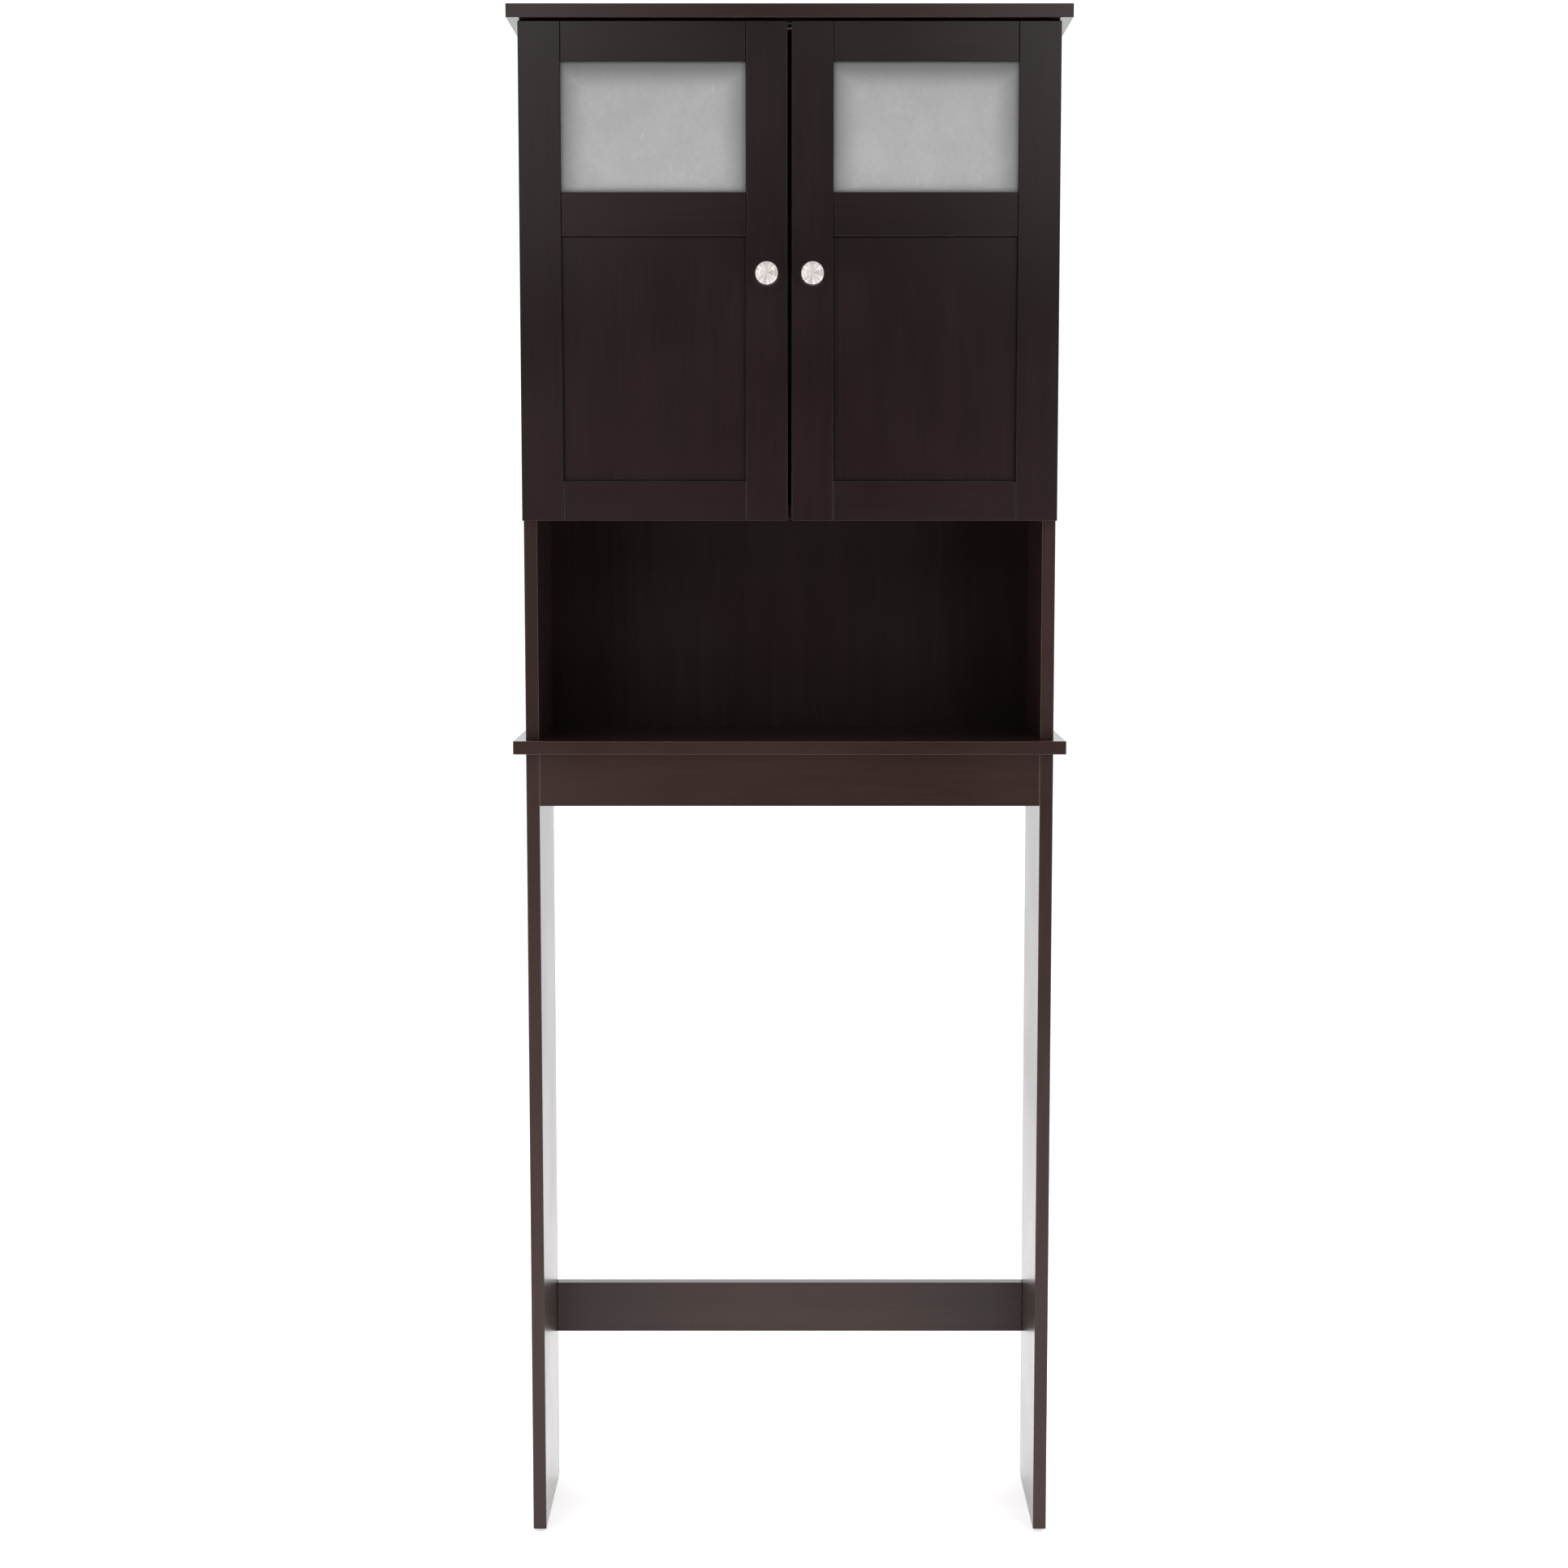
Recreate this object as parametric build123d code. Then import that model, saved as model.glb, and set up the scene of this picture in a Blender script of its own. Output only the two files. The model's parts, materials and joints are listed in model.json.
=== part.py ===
from build123d import *
import math
import os

# Over the toilet storage rack: a two-door cabinet above an open niche, on two tall panel legs.
# The front faces -Y, +Z is up, and the origin is on the floor at the middle of the outer box.
# All sizes are in millimetres.

# Outer sizes
WIDTH = 616.0  # top board and wide shelf
HEIGHT = 1720.0
TOP_DEPTH = 200.0  # top board and wide shelf, front to rear
SIDE_DEPTH = 180.0  # legs and upper sides, front to rear
CARCASS_WIDTH = 591.0  # over the outer faces of the legs and upper sides
BOARD = 15.0
EASED_EDGE = 0.8

# Heights of the boards
GLIDE_HEIGHT = 3.0
STRETCHER_BOTTOM = 185.0
RAIL_HEIGHT = 60.0  # front apron and lower stretcher
WIDE_SHELF_TOP = 917.5
CABINET_FLOOR_TOP = 1178.5

# Back panel and loose shelf
BACK_THICK = 3.0
BACK_SETBACK = 6.0  # from the rear edges to the panel
GROOVE_DEPTH = 5.0
GROOVE_GAP = 0.2
LOOSE_SHELF_THICK = 12.0
LOOSE_SHELF_DEPTH = 148.0
LOOSE_SHELF_END_GAP = 1.0
SHELF_PIN_HEIGHT = 1424.0
SHELF_PIN_STEP = 32.0
SHELF_PIN_RADIUS = 2.5
SHELF_PIN_COLLAR = 3.5
SHELF_PIN_LENGTH = 8.0
SHELF_PIN_SETBACKS = (35.0, 128.0)  # from the rear

# Doors
DOOR_THICK = 15.0
DOOR_BOTTOM = 1161.5
DOOR_TOP_GAP = 3.0
DOOR_CENTRE_GAP = 4.0
DOOR_BACK_GAP = 2.5  # between the closed doors and the cabinet's front edges
STILE_WIDTH = 46.0
TOP_RAIL = 43.5
MIDDLE_RAIL = 47.5
BOTTOM_RAIL = 43.5
GLASS_OPENING = 139.5
DOOR_EDGE = 1.0
RECESS = 5.0  # from the door's front to the glass and the wood panel
PANEL_THICK = 5.0
PANEL_GROOVE = 8.0
GLASS_THICK = 4.0
GLASS_REBATE = 6.0
BEAD_WIDTH = 7.5
TENON_SHOULDER = 6.5
FIT_GAP = 0.1  # around tenons, dowels and pins that are pushed in

# Knobs
KNOB_HEIGHT = 1430.0
KNOB_REACH = 26.0
KNOB_RADIUS = 12.5
KNOB_NECK_RADIUS = 8.5
KNOB_DOME_RADIUS = 100.0
KNOB_RIM = 1.6
KNOB_NECK_HEIGHT = 4.0  # the flare starts here
KNOB_SHOULDER_HEIGHT = 11.0  # and ends here
KNOB_BORE_DEPTH = 12.0
KNOB_SCREW = (4.0, 2.2, 2.0, 25.0)  # head radius, head height, shank radius, length

# Concealed hinges: the pivot lies inside a cup sunk in the rear of the outer stile
HINGE_SETBACK = 70.0  # from the door's ends
PIVOT_FROM_EDGE = 6.5
PIVOT_DEPTH = 9.0  # in front of the door's rear face
CUP_RADIUS = 13.0
CUP_DEPTH = 12.0
CUP_FROM_EDGE = 16.0
CUP_WALL = 0.6
FLANGE_THICK = 0.8
FLANGE_RADIUS = 14.0
FLANGE_WING = (12.0, 42.0)
CUP_SCREW_SPACING = 35.0
PIN_RADIUS = 1.25
EYE_GAP = 0.05
EYE_RADIUS = 2.2
ARM_THICK = 2.0
ARM_NARROW = 7.0
ARM_WIDE = 14.0
ARM_REACH = 48.0
ARM_WIDENS_AT = 11.0
ARM_SCREW_AT = 28.0
ARM_ROUND = 3.0
PLATE_THICK = 2.0
PLATE_SPAN = (20.0, 56.0)
PLATE_WING_SPAN = (33.0, 47.0)
PLATE_WIDTH = 16.0
PLATE_WING_HEIGHT = 44.0
PLATE_SCREW_SPACING = 32.0

# Double magnetic catch under the top board
CATCH_SIZE = (50.0, 20.0, 11.0)
CATCH_GAP = 0.2
CATCH_ROUND = 0.5
CATCH_SCREW_GRIP = 9.0  # in the top board
STRIKE_THICK = 1.0
STRIKE_SIZE = (16.0, 8.5)
STRIKE_INSET = (1.5, 0.5)  # from the door's inner edge and top
STRIKE_SCREW = (2.4, 1.0, 1.2, 9.0)
BUMPER_RADIUS = 4.0
BUMPER_ROUND = 0.8
BUMPER_GAP = 0.3
POLE_THICK = 1.2
POLE_WIDTH = 32.0
POLE_DEPTH = 13.0
POLE_PROUD = 1.0
MAGNET_THICK = 3.8
MAGNET_TOP = 4.2  # below the top board
MAGNET_SETBACK = 1.5
CATCH_SCREW_SPACING = 41.0

# Knock-down fittings: offsets along a joint are from the rear, or from the front of the floor
CAM_RADIUS = 7.5
CAM_DEPTH = 12.5
CAM_DISTANCE = 24.0
CAM_MOUTH = 3.4  # half the opening that the bolt's head enters by
CAM_RECESS = (4.0, 2.0)  # driver recess: radius and depth
BOLT_GRIP = 10.0
BOLT_THREAD = 2.9  # radii along the bolt
BOLT_SHANK = 2.5
BOLT_NECK = 1.6
BOLT_HEAD = 3.0
BOLT_PASSAGE = 3.5
BOLT_THREAD_HOLE = 3.0
DOWEL_RADIUS = 4.0
DOWEL_CHAMFER = 1.0
DOWEL_IN_MATE = 10.0
DOWEL_IN_HOST = 20.0
LEG_CAMS = (30.0, 150.0)
LEG_DOWELS = (62.0, 118.0)
TOP_CAMS = (35.0, 145.0)
TOP_DOWELS = (65.0, 115.0)
FLOOR_CAMS = (30.0, 141.0)
FLOOR_DOWELS = (58.0, 113.0)
SIDE_SCREWS = (45.0, 135.0)
SIDE_DOWELS = (80.0, 100.0)
RAIL_FITTING_OFFSET = 14.0  # above and below the middle of the apron and the stretcher
PANEL_SCREW = (5.0, 3.0, 2.5, 50.0)  # head radius, head height, shank radius, length
SMALL_SCREW = (2.8, 1.2, 1.5, 10.0)
PLATE_SCREW = (3.2, 1.8, 1.6, 14.0)
ARM_SCREW = (3.5, 2.0, 2.0, 4.0)
GLIDE_RADIUS = 6.5
GLIDE_ROUND = 0.6
NAIL_RADIUS = 1.0
NAIL_LENGTH = 13.0
GLIDE_INSETS = (14.0, 166.0)  # from the rear

# Planes worked out from the sizes above
OUTER_X = CARCASS_WIDTH / 2
INNER_X = OUTER_X - BOARD
MIDDLE_X = OUTER_X - BOARD / 2
DOOR_PROUD = SIDE_DEPTH + DOOR_BACK_GAP + DOOR_THICK
TOTAL_DEPTH = DOOR_PROUD + KNOB_REACH
REAR = TOTAL_DEPTH / 2
SIDE_FRONT = REAR - SIDE_DEPTH
TOP_FRONT = REAR - TOP_DEPTH
DOOR_REAR = SIDE_FRONT - DOOR_BACK_GAP
DOOR_FRONT = DOOR_REAR - DOOR_THICK
TOP_UNDERSIDE = HEIGHT - BOARD
WIDE_SHELF_UNDERSIDE = WIDE_SHELF_TOP - BOARD
BACK_FRONT = REAR - BACK_SETBACK - BACK_THICK
DOOR_TOP = TOP_UNDERSIDE - DOOR_TOP_GAP
GLASS_TOP = DOOR_TOP - TOP_RAIL
GLASS_BOTTOM = GLASS_TOP - GLASS_OPENING
PANEL_TOP = GLASS_BOTTOM - MIDDLE_RAIL
PANEL_BOTTOM = DOOR_BOTTOM + BOTTOM_RAIL
STILE_EDGE = OUTER_X - STILE_WIDTH  # inner edge of an outer stile
INNER_STILE_EDGE = DOOR_CENTRE_GAP / 2 + STILE_WIDTH
KNOB_X = DOOR_CENTRE_GAP / 2 + STILE_WIDTH / 2
PIVOT_X = OUTER_X - PIVOT_FROM_EDGE
PIVOT_Y = DOOR_REAR - PIVOT_DEPTH
HINGE_HEIGHTS = {"upper": DOOR_TOP - HINGE_SETBACK, "lower": DOOR_BOTTOM + HINGE_SETBACK}
SIDES = {"left": -1, "right": 1}

RIGHTWARD = (1, 0, 0)
REARWARD = (0, 1, 0)
FORWARD = (0, -1, 0)
UP = (0, 0, 1)
DOWN = (0, 0, -1)

nodes = {}  # node name: its solids
holes = {}  # node name: what is cut from it for its fittings


def add(store, name, *solids):
    """Files solids under a node's name."""
    store.setdefault(name, []).extend(solids)


def block(x, y, z):
    """Plain box between three pairs of limits."""
    size = [abs(b - a) for a, b in (x, y, z)]
    centre = [(a + b) / 2 for a, b in (x, y, z)]
    return Pos(*centre) * Box(*size)


def board(x, y, z, edge=EASED_EDGE):
    """Box with every edge rounded over."""
    blank = block(x, y, z)
    return fillet(blank.edges(), edge)


def rod(start, direction, radius, length):
    """Round rod that begins at a point and runs along a direction."""
    whole = Cylinder(radius, length, align=(Align.CENTER, Align.CENTER, Align.MIN))
    return Plane(origin=start, z_dir=direction) * whole


def cross_recess(radius, depth):
    """Driver recess, cut downwards from the origin."""
    arm = Box(2 * radius, radius / 2.5, 2 * depth)
    return arm + Rot(0, 0, 90) * arm


def screw(point, direction, size, sunk=False):
    """Screw driven from a point on a surface: a pan head on it, or a flat head sunk in it."""
    head_radius, head_height, shank_radius, length = size
    head_low = -head_height if sunk else 0
    align = (Align.CENTER, Align.CENTER, Align.MIN)
    head = Pos(0, 0, head_low) * Cylinder(head_radius, head_height, align=align)
    shank = Pos(0, 0, -length) * Cylinder(shank_radius, length + head_low + head_height / 2, align=align)
    recess = Pos(0, 0, head_low + head_height) * cross_recess(head_radius * 0.6, head_height * 0.6)
    away = [-step for step in direction]
    return Plane(origin=point, z_dir=away) * (head + shank - recess)


def screw_hole(point, direction, size, sunk=False):
    """Clearance for a screw: its shank, and its head where that is sunk."""
    head_radius, head_height, shank_radius, length = size
    away = [-step for step in direction]
    frame = Plane(origin=point, z_dir=away)
    align = (Align.CENTER, Align.CENTER, Align.MIN)
    hole = Pos(0, 0, -length - 1) * Cylinder(shank_radius + FIT_GAP / 2, length + 2, align=align)
    if sunk:
        hole += Pos(0, 0, -head_height) * Cylinder(head_radius + FIT_GAP, head_height + 1, align=align)
    return frame * hole


# Knock-down joints. A host board ends on the face of its mate.


def join_with_cam(host, mate, point, into, face):
    """Cam in the host and bolt in the mate, from the middle of the host's end along into."""
    frame = Plane(origin=point, x_dir=into, z_dir=face)
    half = BOARD / 2
    align = (Align.CENTER, Align.CENTER, Align.MAX)
    disc = Pos(CAM_DISTANCE, 0, half) * Cylinder(CAM_RADIUS, CAM_DEPTH, align=align)
    mouth_span = (CAM_DISTANCE - CAM_RADIUS - 1, CAM_DISTANCE + 4)
    mouth = block(mouth_span, (-CAM_MOUTH, CAM_MOUTH), (-CAM_MOUTH, CAM_MOUTH))
    lock = disc - mouth - Pos(CAM_DISTANCE, 0, half) * cross_recess(*CAM_RECESS)
    pocket = Pos(CAM_DISTANCE, 0, half + 1) * Cylinder(CAM_RADIUS + FIT_GAP, CAM_DEPTH + 1.1, align=align)
    thread = rod((-BOLT_GRIP, 0, 0), RIGHTWARD, BOLT_THREAD, BOLT_GRIP)
    shank = rod((-0.5, 0, 0), RIGHTWARD, BOLT_SHANK, CAM_DISTANCE - 6)
    neck = rod((CAM_DISTANCE - 7, 0, 0), RIGHTWARD, BOLT_NECK, 6)
    head = rod((CAM_DISTANCE - 2, 0, 0), RIGHTWARD, BOLT_HEAD, 3)
    passage = rod((-1, 0, 0), RIGHTWARD, BOLT_PASSAGE, CAM_DISTANCE)
    threaded = rod((-BOLT_GRIP - 1, 0, 0), RIGHTWARD, BOLT_THREAD_HOLE, BOLT_GRIP + 2)
    add(nodes, "cam_locks", frame * lock)
    add(nodes, "cam_bolts", frame * (thread + shank + neck + head))
    add(holes, host, frame * (pocket + passage))
    add(holes, mate, frame * threaded)


def join_with_dowel(host, mate, point, into):
    """Wooden dowel across a joint."""
    back = [-step for step in into]
    start = [at + step * DOWEL_IN_MATE for at, step in zip(point, back)]
    length = DOWEL_IN_MATE + DOWEL_IN_HOST
    dowel = rod(start, into, DOWEL_RADIUS, length)
    ends = dowel.edges().filter_by(GeomType.CIRCLE)
    add(nodes, "dowels", chamfer(ends, DOWEL_CHAMFER))
    add(holes, host, rod(point, into, DOWEL_RADIUS + FIT_GAP, DOWEL_IN_HOST + 1))
    add(holes, mate, rod(point, back, DOWEL_RADIUS + FIT_GAP, DOWEL_IN_MATE + 1))


def join_standing_boards():
    """Legs to the wide shelf, and upper sides to the top board and the wide shelf."""
    for name, side in SIDES.items():
        x = side * MIDDLE_X
        inward = (-side, 0, 0)
        leg = "leg_panel_" + name
        upper = "upper_side_" + name
        for offset in LEG_CAMS:
            point = (x, REAR - offset, WIDE_SHELF_UNDERSIDE)
            join_with_cam(leg, "wide_shelf", point, DOWN, inward)
        for offset in LEG_DOWELS:
            join_with_dowel(leg, "wide_shelf", (x, REAR - offset, WIDE_SHELF_UNDERSIDE), DOWN)
        for offset in TOP_CAMS:
            join_with_cam(upper, "top_board", (x, REAR - offset, TOP_UNDERSIDE), DOWN, inward)
        for offset in TOP_DOWELS:
            join_with_dowel(upper, "top_board", (x, REAR - offset, TOP_UNDERSIDE), DOWN)
        for offset in SIDE_DOWELS:
            join_with_dowel(upper, "wide_shelf", (x, REAR - offset, WIDE_SHELF_TOP), UP)
        for offset in SIDE_SCREWS:
            point = (x, REAR - offset, WIDE_SHELF_UNDERSIDE)
            hole = screw_hole(point, UP, PANEL_SCREW, sunk=True)
            add(nodes, "panel_screws", screw(point, UP, PANEL_SCREW, sunk=True))
            add(holes, "wide_shelf", hole)
            add(holes, upper, hole)


def join_lying_boards():
    """Apron and stretcher to the legs, and the cabinet floor to the upper sides."""
    for name, side in SIDES.items():
        x = side * INNER_X
        inward = (-side, 0, 0)
        leg = "leg_panel_" + name
        upper = "upper_side_" + name
        apron_middle = WIDE_SHELF_UNDERSIDE - RAIL_HEIGHT / 2
        stretcher_middle = STRETCHER_BOTTOM + RAIL_HEIGHT / 2
        rails = (
            ("front_apron", SIDE_FRONT + BOARD / 2, apron_middle),
            ("lower_stretcher", REAR - BOARD / 2, stretcher_middle),
        )
        for rail, y, z in rails:
            join_with_cam(rail, leg, (x, y, z - RAIL_FITTING_OFFSET), inward, REARWARD)
            join_with_dowel(rail, leg, (x, y, z + RAIL_FITTING_OFFSET), inward)
        floor_middle = CABINET_FLOOR_TOP - BOARD / 2
        for offset in FLOOR_CAMS:
            join_with_cam("cabinet_floor", upper, (x, SIDE_FRONT + offset, floor_middle), inward, DOWN)
        for offset in FLOOR_DOWELS:
            join_with_dowel("cabinet_floor", upper, (x, SIDE_FRONT + offset, floor_middle), inward)


# Boards of the cabinet and its legs


def top_board():
    return board((-WIDTH / 2, WIDTH / 2), (TOP_FRONT, REAR), (TOP_UNDERSIDE, HEIGHT))


def wide_shelf():
    return board((-WIDTH / 2, WIDTH / 2), (TOP_FRONT, REAR), (WIDE_SHELF_UNDERSIDE, WIDE_SHELF_TOP))


def upper_side(side):
    return board((side * INNER_X, side * OUTER_X), (SIDE_FRONT, REAR), (WIDE_SHELF_TOP, TOP_UNDERSIDE))


def leg_panel(side):
    return board((side * INNER_X, side * OUTER_X), (SIDE_FRONT, REAR), (GLIDE_HEIGHT, WIDE_SHELF_UNDERSIDE))


def cabinet_floor():
    heights = (CABINET_FLOOR_TOP - BOARD, CABINET_FLOOR_TOP)
    return board((-INNER_X, INNER_X), (SIDE_FRONT, BACK_FRONT), heights)


def front_apron():
    heights = (WIDE_SHELF_UNDERSIDE - RAIL_HEIGHT, WIDE_SHELF_UNDERSIDE)
    return board((-INNER_X, INNER_X), (SIDE_FRONT, SIDE_FRONT + BOARD), heights)


def lower_stretcher():
    heights = (STRETCHER_BOTTOM, STRETCHER_BOTTOM + RAIL_HEIGHT)
    return board((-INNER_X, INNER_X), (REAR - BOARD, REAR), heights)


def loose_shelf():
    half = INNER_X - LOOSE_SHELF_END_GAP
    rear = BACK_FRONT - LOOSE_SHELF_END_GAP
    low = SHELF_PIN_HEIGHT + SHELF_PIN_RADIUS
    return board((-half, half), (rear - LOOSE_SHELF_DEPTH, rear), (low, low + LOOSE_SHELF_THICK))


def back_panel():
    half = INNER_X + GROOVE_DEPTH - GROOVE_GAP
    heights = (WIDE_SHELF_TOP - GROOVE_DEPTH + GROOVE_GAP, TOP_UNDERSIDE + GROOVE_DEPTH - GROOVE_GAP)
    return block((-half, half), (BACK_FRONT, BACK_FRONT + BACK_THICK), heights)


def cut_back_grooves():
    """Grooves for the back panel in the upper sides, the top board and the wide shelf."""
    half = INNER_X + GROOVE_DEPTH
    groove = block(
        (-half, half),
        (BACK_FRONT - GROOVE_GAP / 2, BACK_FRONT + BACK_THICK + GROOVE_GAP / 2),
        (WIDE_SHELF_TOP - GROOVE_DEPTH, TOP_UNDERSIDE + GROOVE_DEPTH),
    )
    for name in ("upper_side_left", "upper_side_right", "top_board", "wide_shelf"):
        add(holes, name, groove)


def shelf_pin(side, y):
    """Pin pushed into an upper side, with a collar and a stub that the loose shelf lies on."""
    at = (side * INNER_X, y, SHELF_PIN_HEIGHT)
    peg = rod(at, (side, 0, 0), SHELF_PIN_RADIUS, SHELF_PIN_LENGTH)
    collar = rod(at, (-side, 0, 0), SHELF_PIN_COLLAR, LOOSE_SHELF_END_GAP)
    stub = rod(at, (-side, 0, 0), SHELF_PIN_RADIUS, SHELF_PIN_LENGTH)
    return peg + collar + stub


def make_shelf_pins():
    """Four pins, in the middle one of three rows of holes in each upper side."""
    for name, side in SIDES.items():
        for setback in SHELF_PIN_SETBACKS:
            y = REAR - setback
            add(nodes, "shelf_pins", shelf_pin(side, y))
            for row in (-1, 0, 1):
                start = (side * (INNER_X - 1), y, SHELF_PIN_HEIGHT + row * SHELF_PIN_STEP)
                hole = rod(start, (side, 0, 0), SHELF_PIN_RADIUS + FIT_GAP / 2, SHELF_PIN_LENGTH + 2)
                add(holes, "upper_side_" + name, hole)


def glide(x, y):
    """Nail-on glide: a round pad with its nail."""
    pad = rod((x, y, 0), UP, GLIDE_RADIUS, GLIDE_HEIGHT)
    pad = fillet(pad.edges().filter_by(GeomType.CIRCLE).sort_by(Axis.Z)[0], GLIDE_ROUND)
    return pad + rod((x, y, GLIDE_HEIGHT - 1), UP, NAIL_RADIUS, NAIL_LENGTH)


def make_glides():
    """Two glides under each leg panel."""
    for name, side in SIDES.items():
        for inset in GLIDE_INSETS:
            x = side * MIDDLE_X
            y = REAR - inset
            add(nodes, "leg_glides", glide(x, y))
            nail_hole = rod((x, y, GLIDE_HEIGHT - 1), UP, NAIL_RADIUS + FIT_GAP / 2, NAIL_LENGTH + 1)
            add(holes, "leg_panel_" + name, nail_hole)


# Magnetic catch


def make_catch():
    """Housing screwed under the top board, with a magnet between two pole plates."""
    width, depth, height = CATCH_SIZE
    pole_front = DOOR_REAR + STRIKE_THICK + CATCH_GAP
    front = pole_front + POLE_PROUD
    magnet_high = TOP_UNDERSIDE - MAGNET_TOP
    magnet_low = magnet_high - MAGNET_THICK
    half = POLE_WIDTH / 2
    shell_z = (TOP_UNDERSIDE - height, TOP_UNDERSIDE)
    shell = board((-width / 2, width / 2), (front, front + depth), shell_z, CATCH_ROUND)
    pocket = block(
        (-half - FIT_GAP, half + FIT_GAP),
        (front - 1, pole_front + POLE_DEPTH + FIT_GAP),
        (magnet_low - POLE_THICK - FIT_GAP, magnet_high + POLE_THICK + FIT_GAP),
    )
    add(nodes, "catch_housing", shell - pocket)
    magnet_depth = (pole_front + MAGNET_SETBACK, pole_front + POLE_DEPTH)
    for low_x, high_x in ((-half + 1, -0.5), (0.5, half - 1)):
        add(nodes, "catch_magnets", block((low_x, high_x), magnet_depth, (magnet_low, magnet_high)))
    for low in (magnet_low - POLE_THICK, magnet_high):
        plate = block((-half, half), (pole_front, pole_front + POLE_DEPTH), (low, low + POLE_THICK))
        add(nodes, "catch_pole_plates", plate)
    size = (SMALL_SCREW[0], SMALL_SCREW[1], SMALL_SCREW[2], height + CATCH_SCREW_GRIP)
    for side in SIDES.values():
        point = (side * CATCH_SCREW_SPACING / 2, front + depth / 2, TOP_UNDERSIDE - height)
        hole = screw_hole(point, UP, size, sunk=True)
        add(nodes, "catch_screws", screw(point, UP, size, sunk=True))
        add(holes, "catch_housing", hole)
        add(holes, "top_board", hole)


# Hinges. Each is drawn for the left door about its pivot: +X runs into the door, +Y rearwards.


def hinge_cup():
    """Pressed cup with a flat flange and two screw wings."""
    centre = CUP_FROM_EDGE - PIVOT_FROM_EDGE
    floor = (centre, PIVOT_DEPTH - CUP_DEPTH, 0)
    rim = (centre, PIVOT_DEPTH, 0)
    wing_x = FLANGE_WING[0] / 2
    wing_z = FLANGE_WING[1] / 2
    wings = block((centre - wing_x, centre + wing_x), (rim[1], rim[1] + FLANGE_THICK), (-wing_z, wing_z))
    flange = rod(rim, REARWARD, FLANGE_RADIUS, FLANGE_THICK) + wings
    shell = rod(floor, REARWARD, CUP_RADIUS, CUP_DEPTH) + flange
    inside = (centre, floor[1] + CUP_WALL, 0)
    shell -= rod(inside, REARWARD, CUP_RADIUS - CUP_WALL, CUP_DEPTH + FLANGE_THICK)
    for side in (-1, 1):
        point = (centre, rim[1] + FLANGE_THICK, side * CUP_SCREW_SPACING / 2)
        shell -= screw_hole(point, FORWARD, SMALL_SCREW)
    return shell - pin_blank()


def pin_blank():
    """Pivot pin at full length."""
    return rod((0, 0, -CUP_RADIUS), UP, PIN_RADIUS, 2 * CUP_RADIUS)


def hinge_pin():
    """Pivot pin, trimmed flush with the outside of the cup."""
    floor = (CUP_FROM_EDGE - PIVOT_FROM_EDGE, PIVOT_DEPTH - CUP_DEPTH, 0)
    return pin_blank() & rod(floor, REARWARD, CUP_RADIUS, CUP_DEPTH)


def cup_bore():
    """Pocket for the cup in the rear of an outer stile."""
    floor = (CUP_FROM_EDGE - PIVOT_FROM_EDGE, PIVOT_DEPTH - CUP_DEPTH - FIT_GAP / 2, 0)
    return rod(floor, REARWARD, CUP_RADIUS + FIT_GAP / 2, CUP_DEPTH + 1)


def hinge_arm():
    """Bent strip: an eye round the pin, a short reach into the door, then back along the side panel."""
    near = BOARD + PLATE_THICK - PIVOT_FROM_EDGE
    far = near + ARM_THICK
    half = ARM_THICK / 2
    eye = rod((0, 0, -ARM_NARROW / 2), UP, EYE_RADIUS, ARM_NARROW)
    reach = block((0, far), (-half, half), (-ARM_NARROW / 2, ARM_NARROW / 2))
    neck = block((near, far), (-half, ARM_WIDENS_AT + 1), (-ARM_NARROW / 2, ARM_NARROW / 2))
    tail = block((near, far), (ARM_WIDENS_AT, ARM_REACH), (-ARM_WIDE / 2, ARM_WIDE / 2))
    tail = fillet(tail.edges().filter_by(Axis.X), ARM_ROUND)
    bore = rod((0, 0, -ARM_NARROW), UP, PIN_RADIUS + EYE_GAP, 2 * ARM_NARROW)
    return eye + reach + neck + tail - bore - arm_screw_hole()


def arm_screw_point():
    """Where the arm's screw meets the arm."""
    return (BOARD + PLATE_THICK + ARM_THICK - PIVOT_FROM_EDGE, ARM_SCREW_AT, 0)


def arm_screw_hole():
    return screw_hole(arm_screw_point(), (-1, 0, 0), ARM_SCREW)


def plate_screw_points():
    """Where the plate's two screws meet the plate."""
    x = BOARD + PLATE_THICK - PIVOT_FROM_EDGE
    y = sum(PLATE_WING_SPAN) / 2
    return [(x, y, side * PLATE_SCREW_SPACING / 2) for side in (-1, 1)]


def hinge_plate():
    """Cross-shaped mounting plate on the inner face of an upper side."""
    low = BOARD - PIVOT_FROM_EDGE
    spine = block((low, low + PLATE_THICK), PLATE_SPAN, (-PLATE_WIDTH / 2, PLATE_WIDTH / 2))
    wing_half = PLATE_WING_HEIGHT / 2
    wings = block((low, low + PLATE_THICK), PLATE_WING_SPAN, (-wing_half, wing_half))
    plate = spine + wings - arm_screw_hole()
    for point in plate_screw_points():
        plate -= screw_hole(point, (-1, 0, 0), PLATE_SCREW)
    return plate


def cup_screw_points():
    """Where the cup's two screws meet its flange."""
    x = CUP_FROM_EDGE - PIVOT_FROM_EDGE
    return [(x, PIVOT_DEPTH + FLANGE_THICK, side * CUP_SCREW_SPACING / 2) for side in (-1, 1)]


def on_side(shape, side):
    """A left-hand shape as it is, or mirrored to the right."""
    return shape if side < 0 else mirror(shape, about=Plane.YZ)


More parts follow.
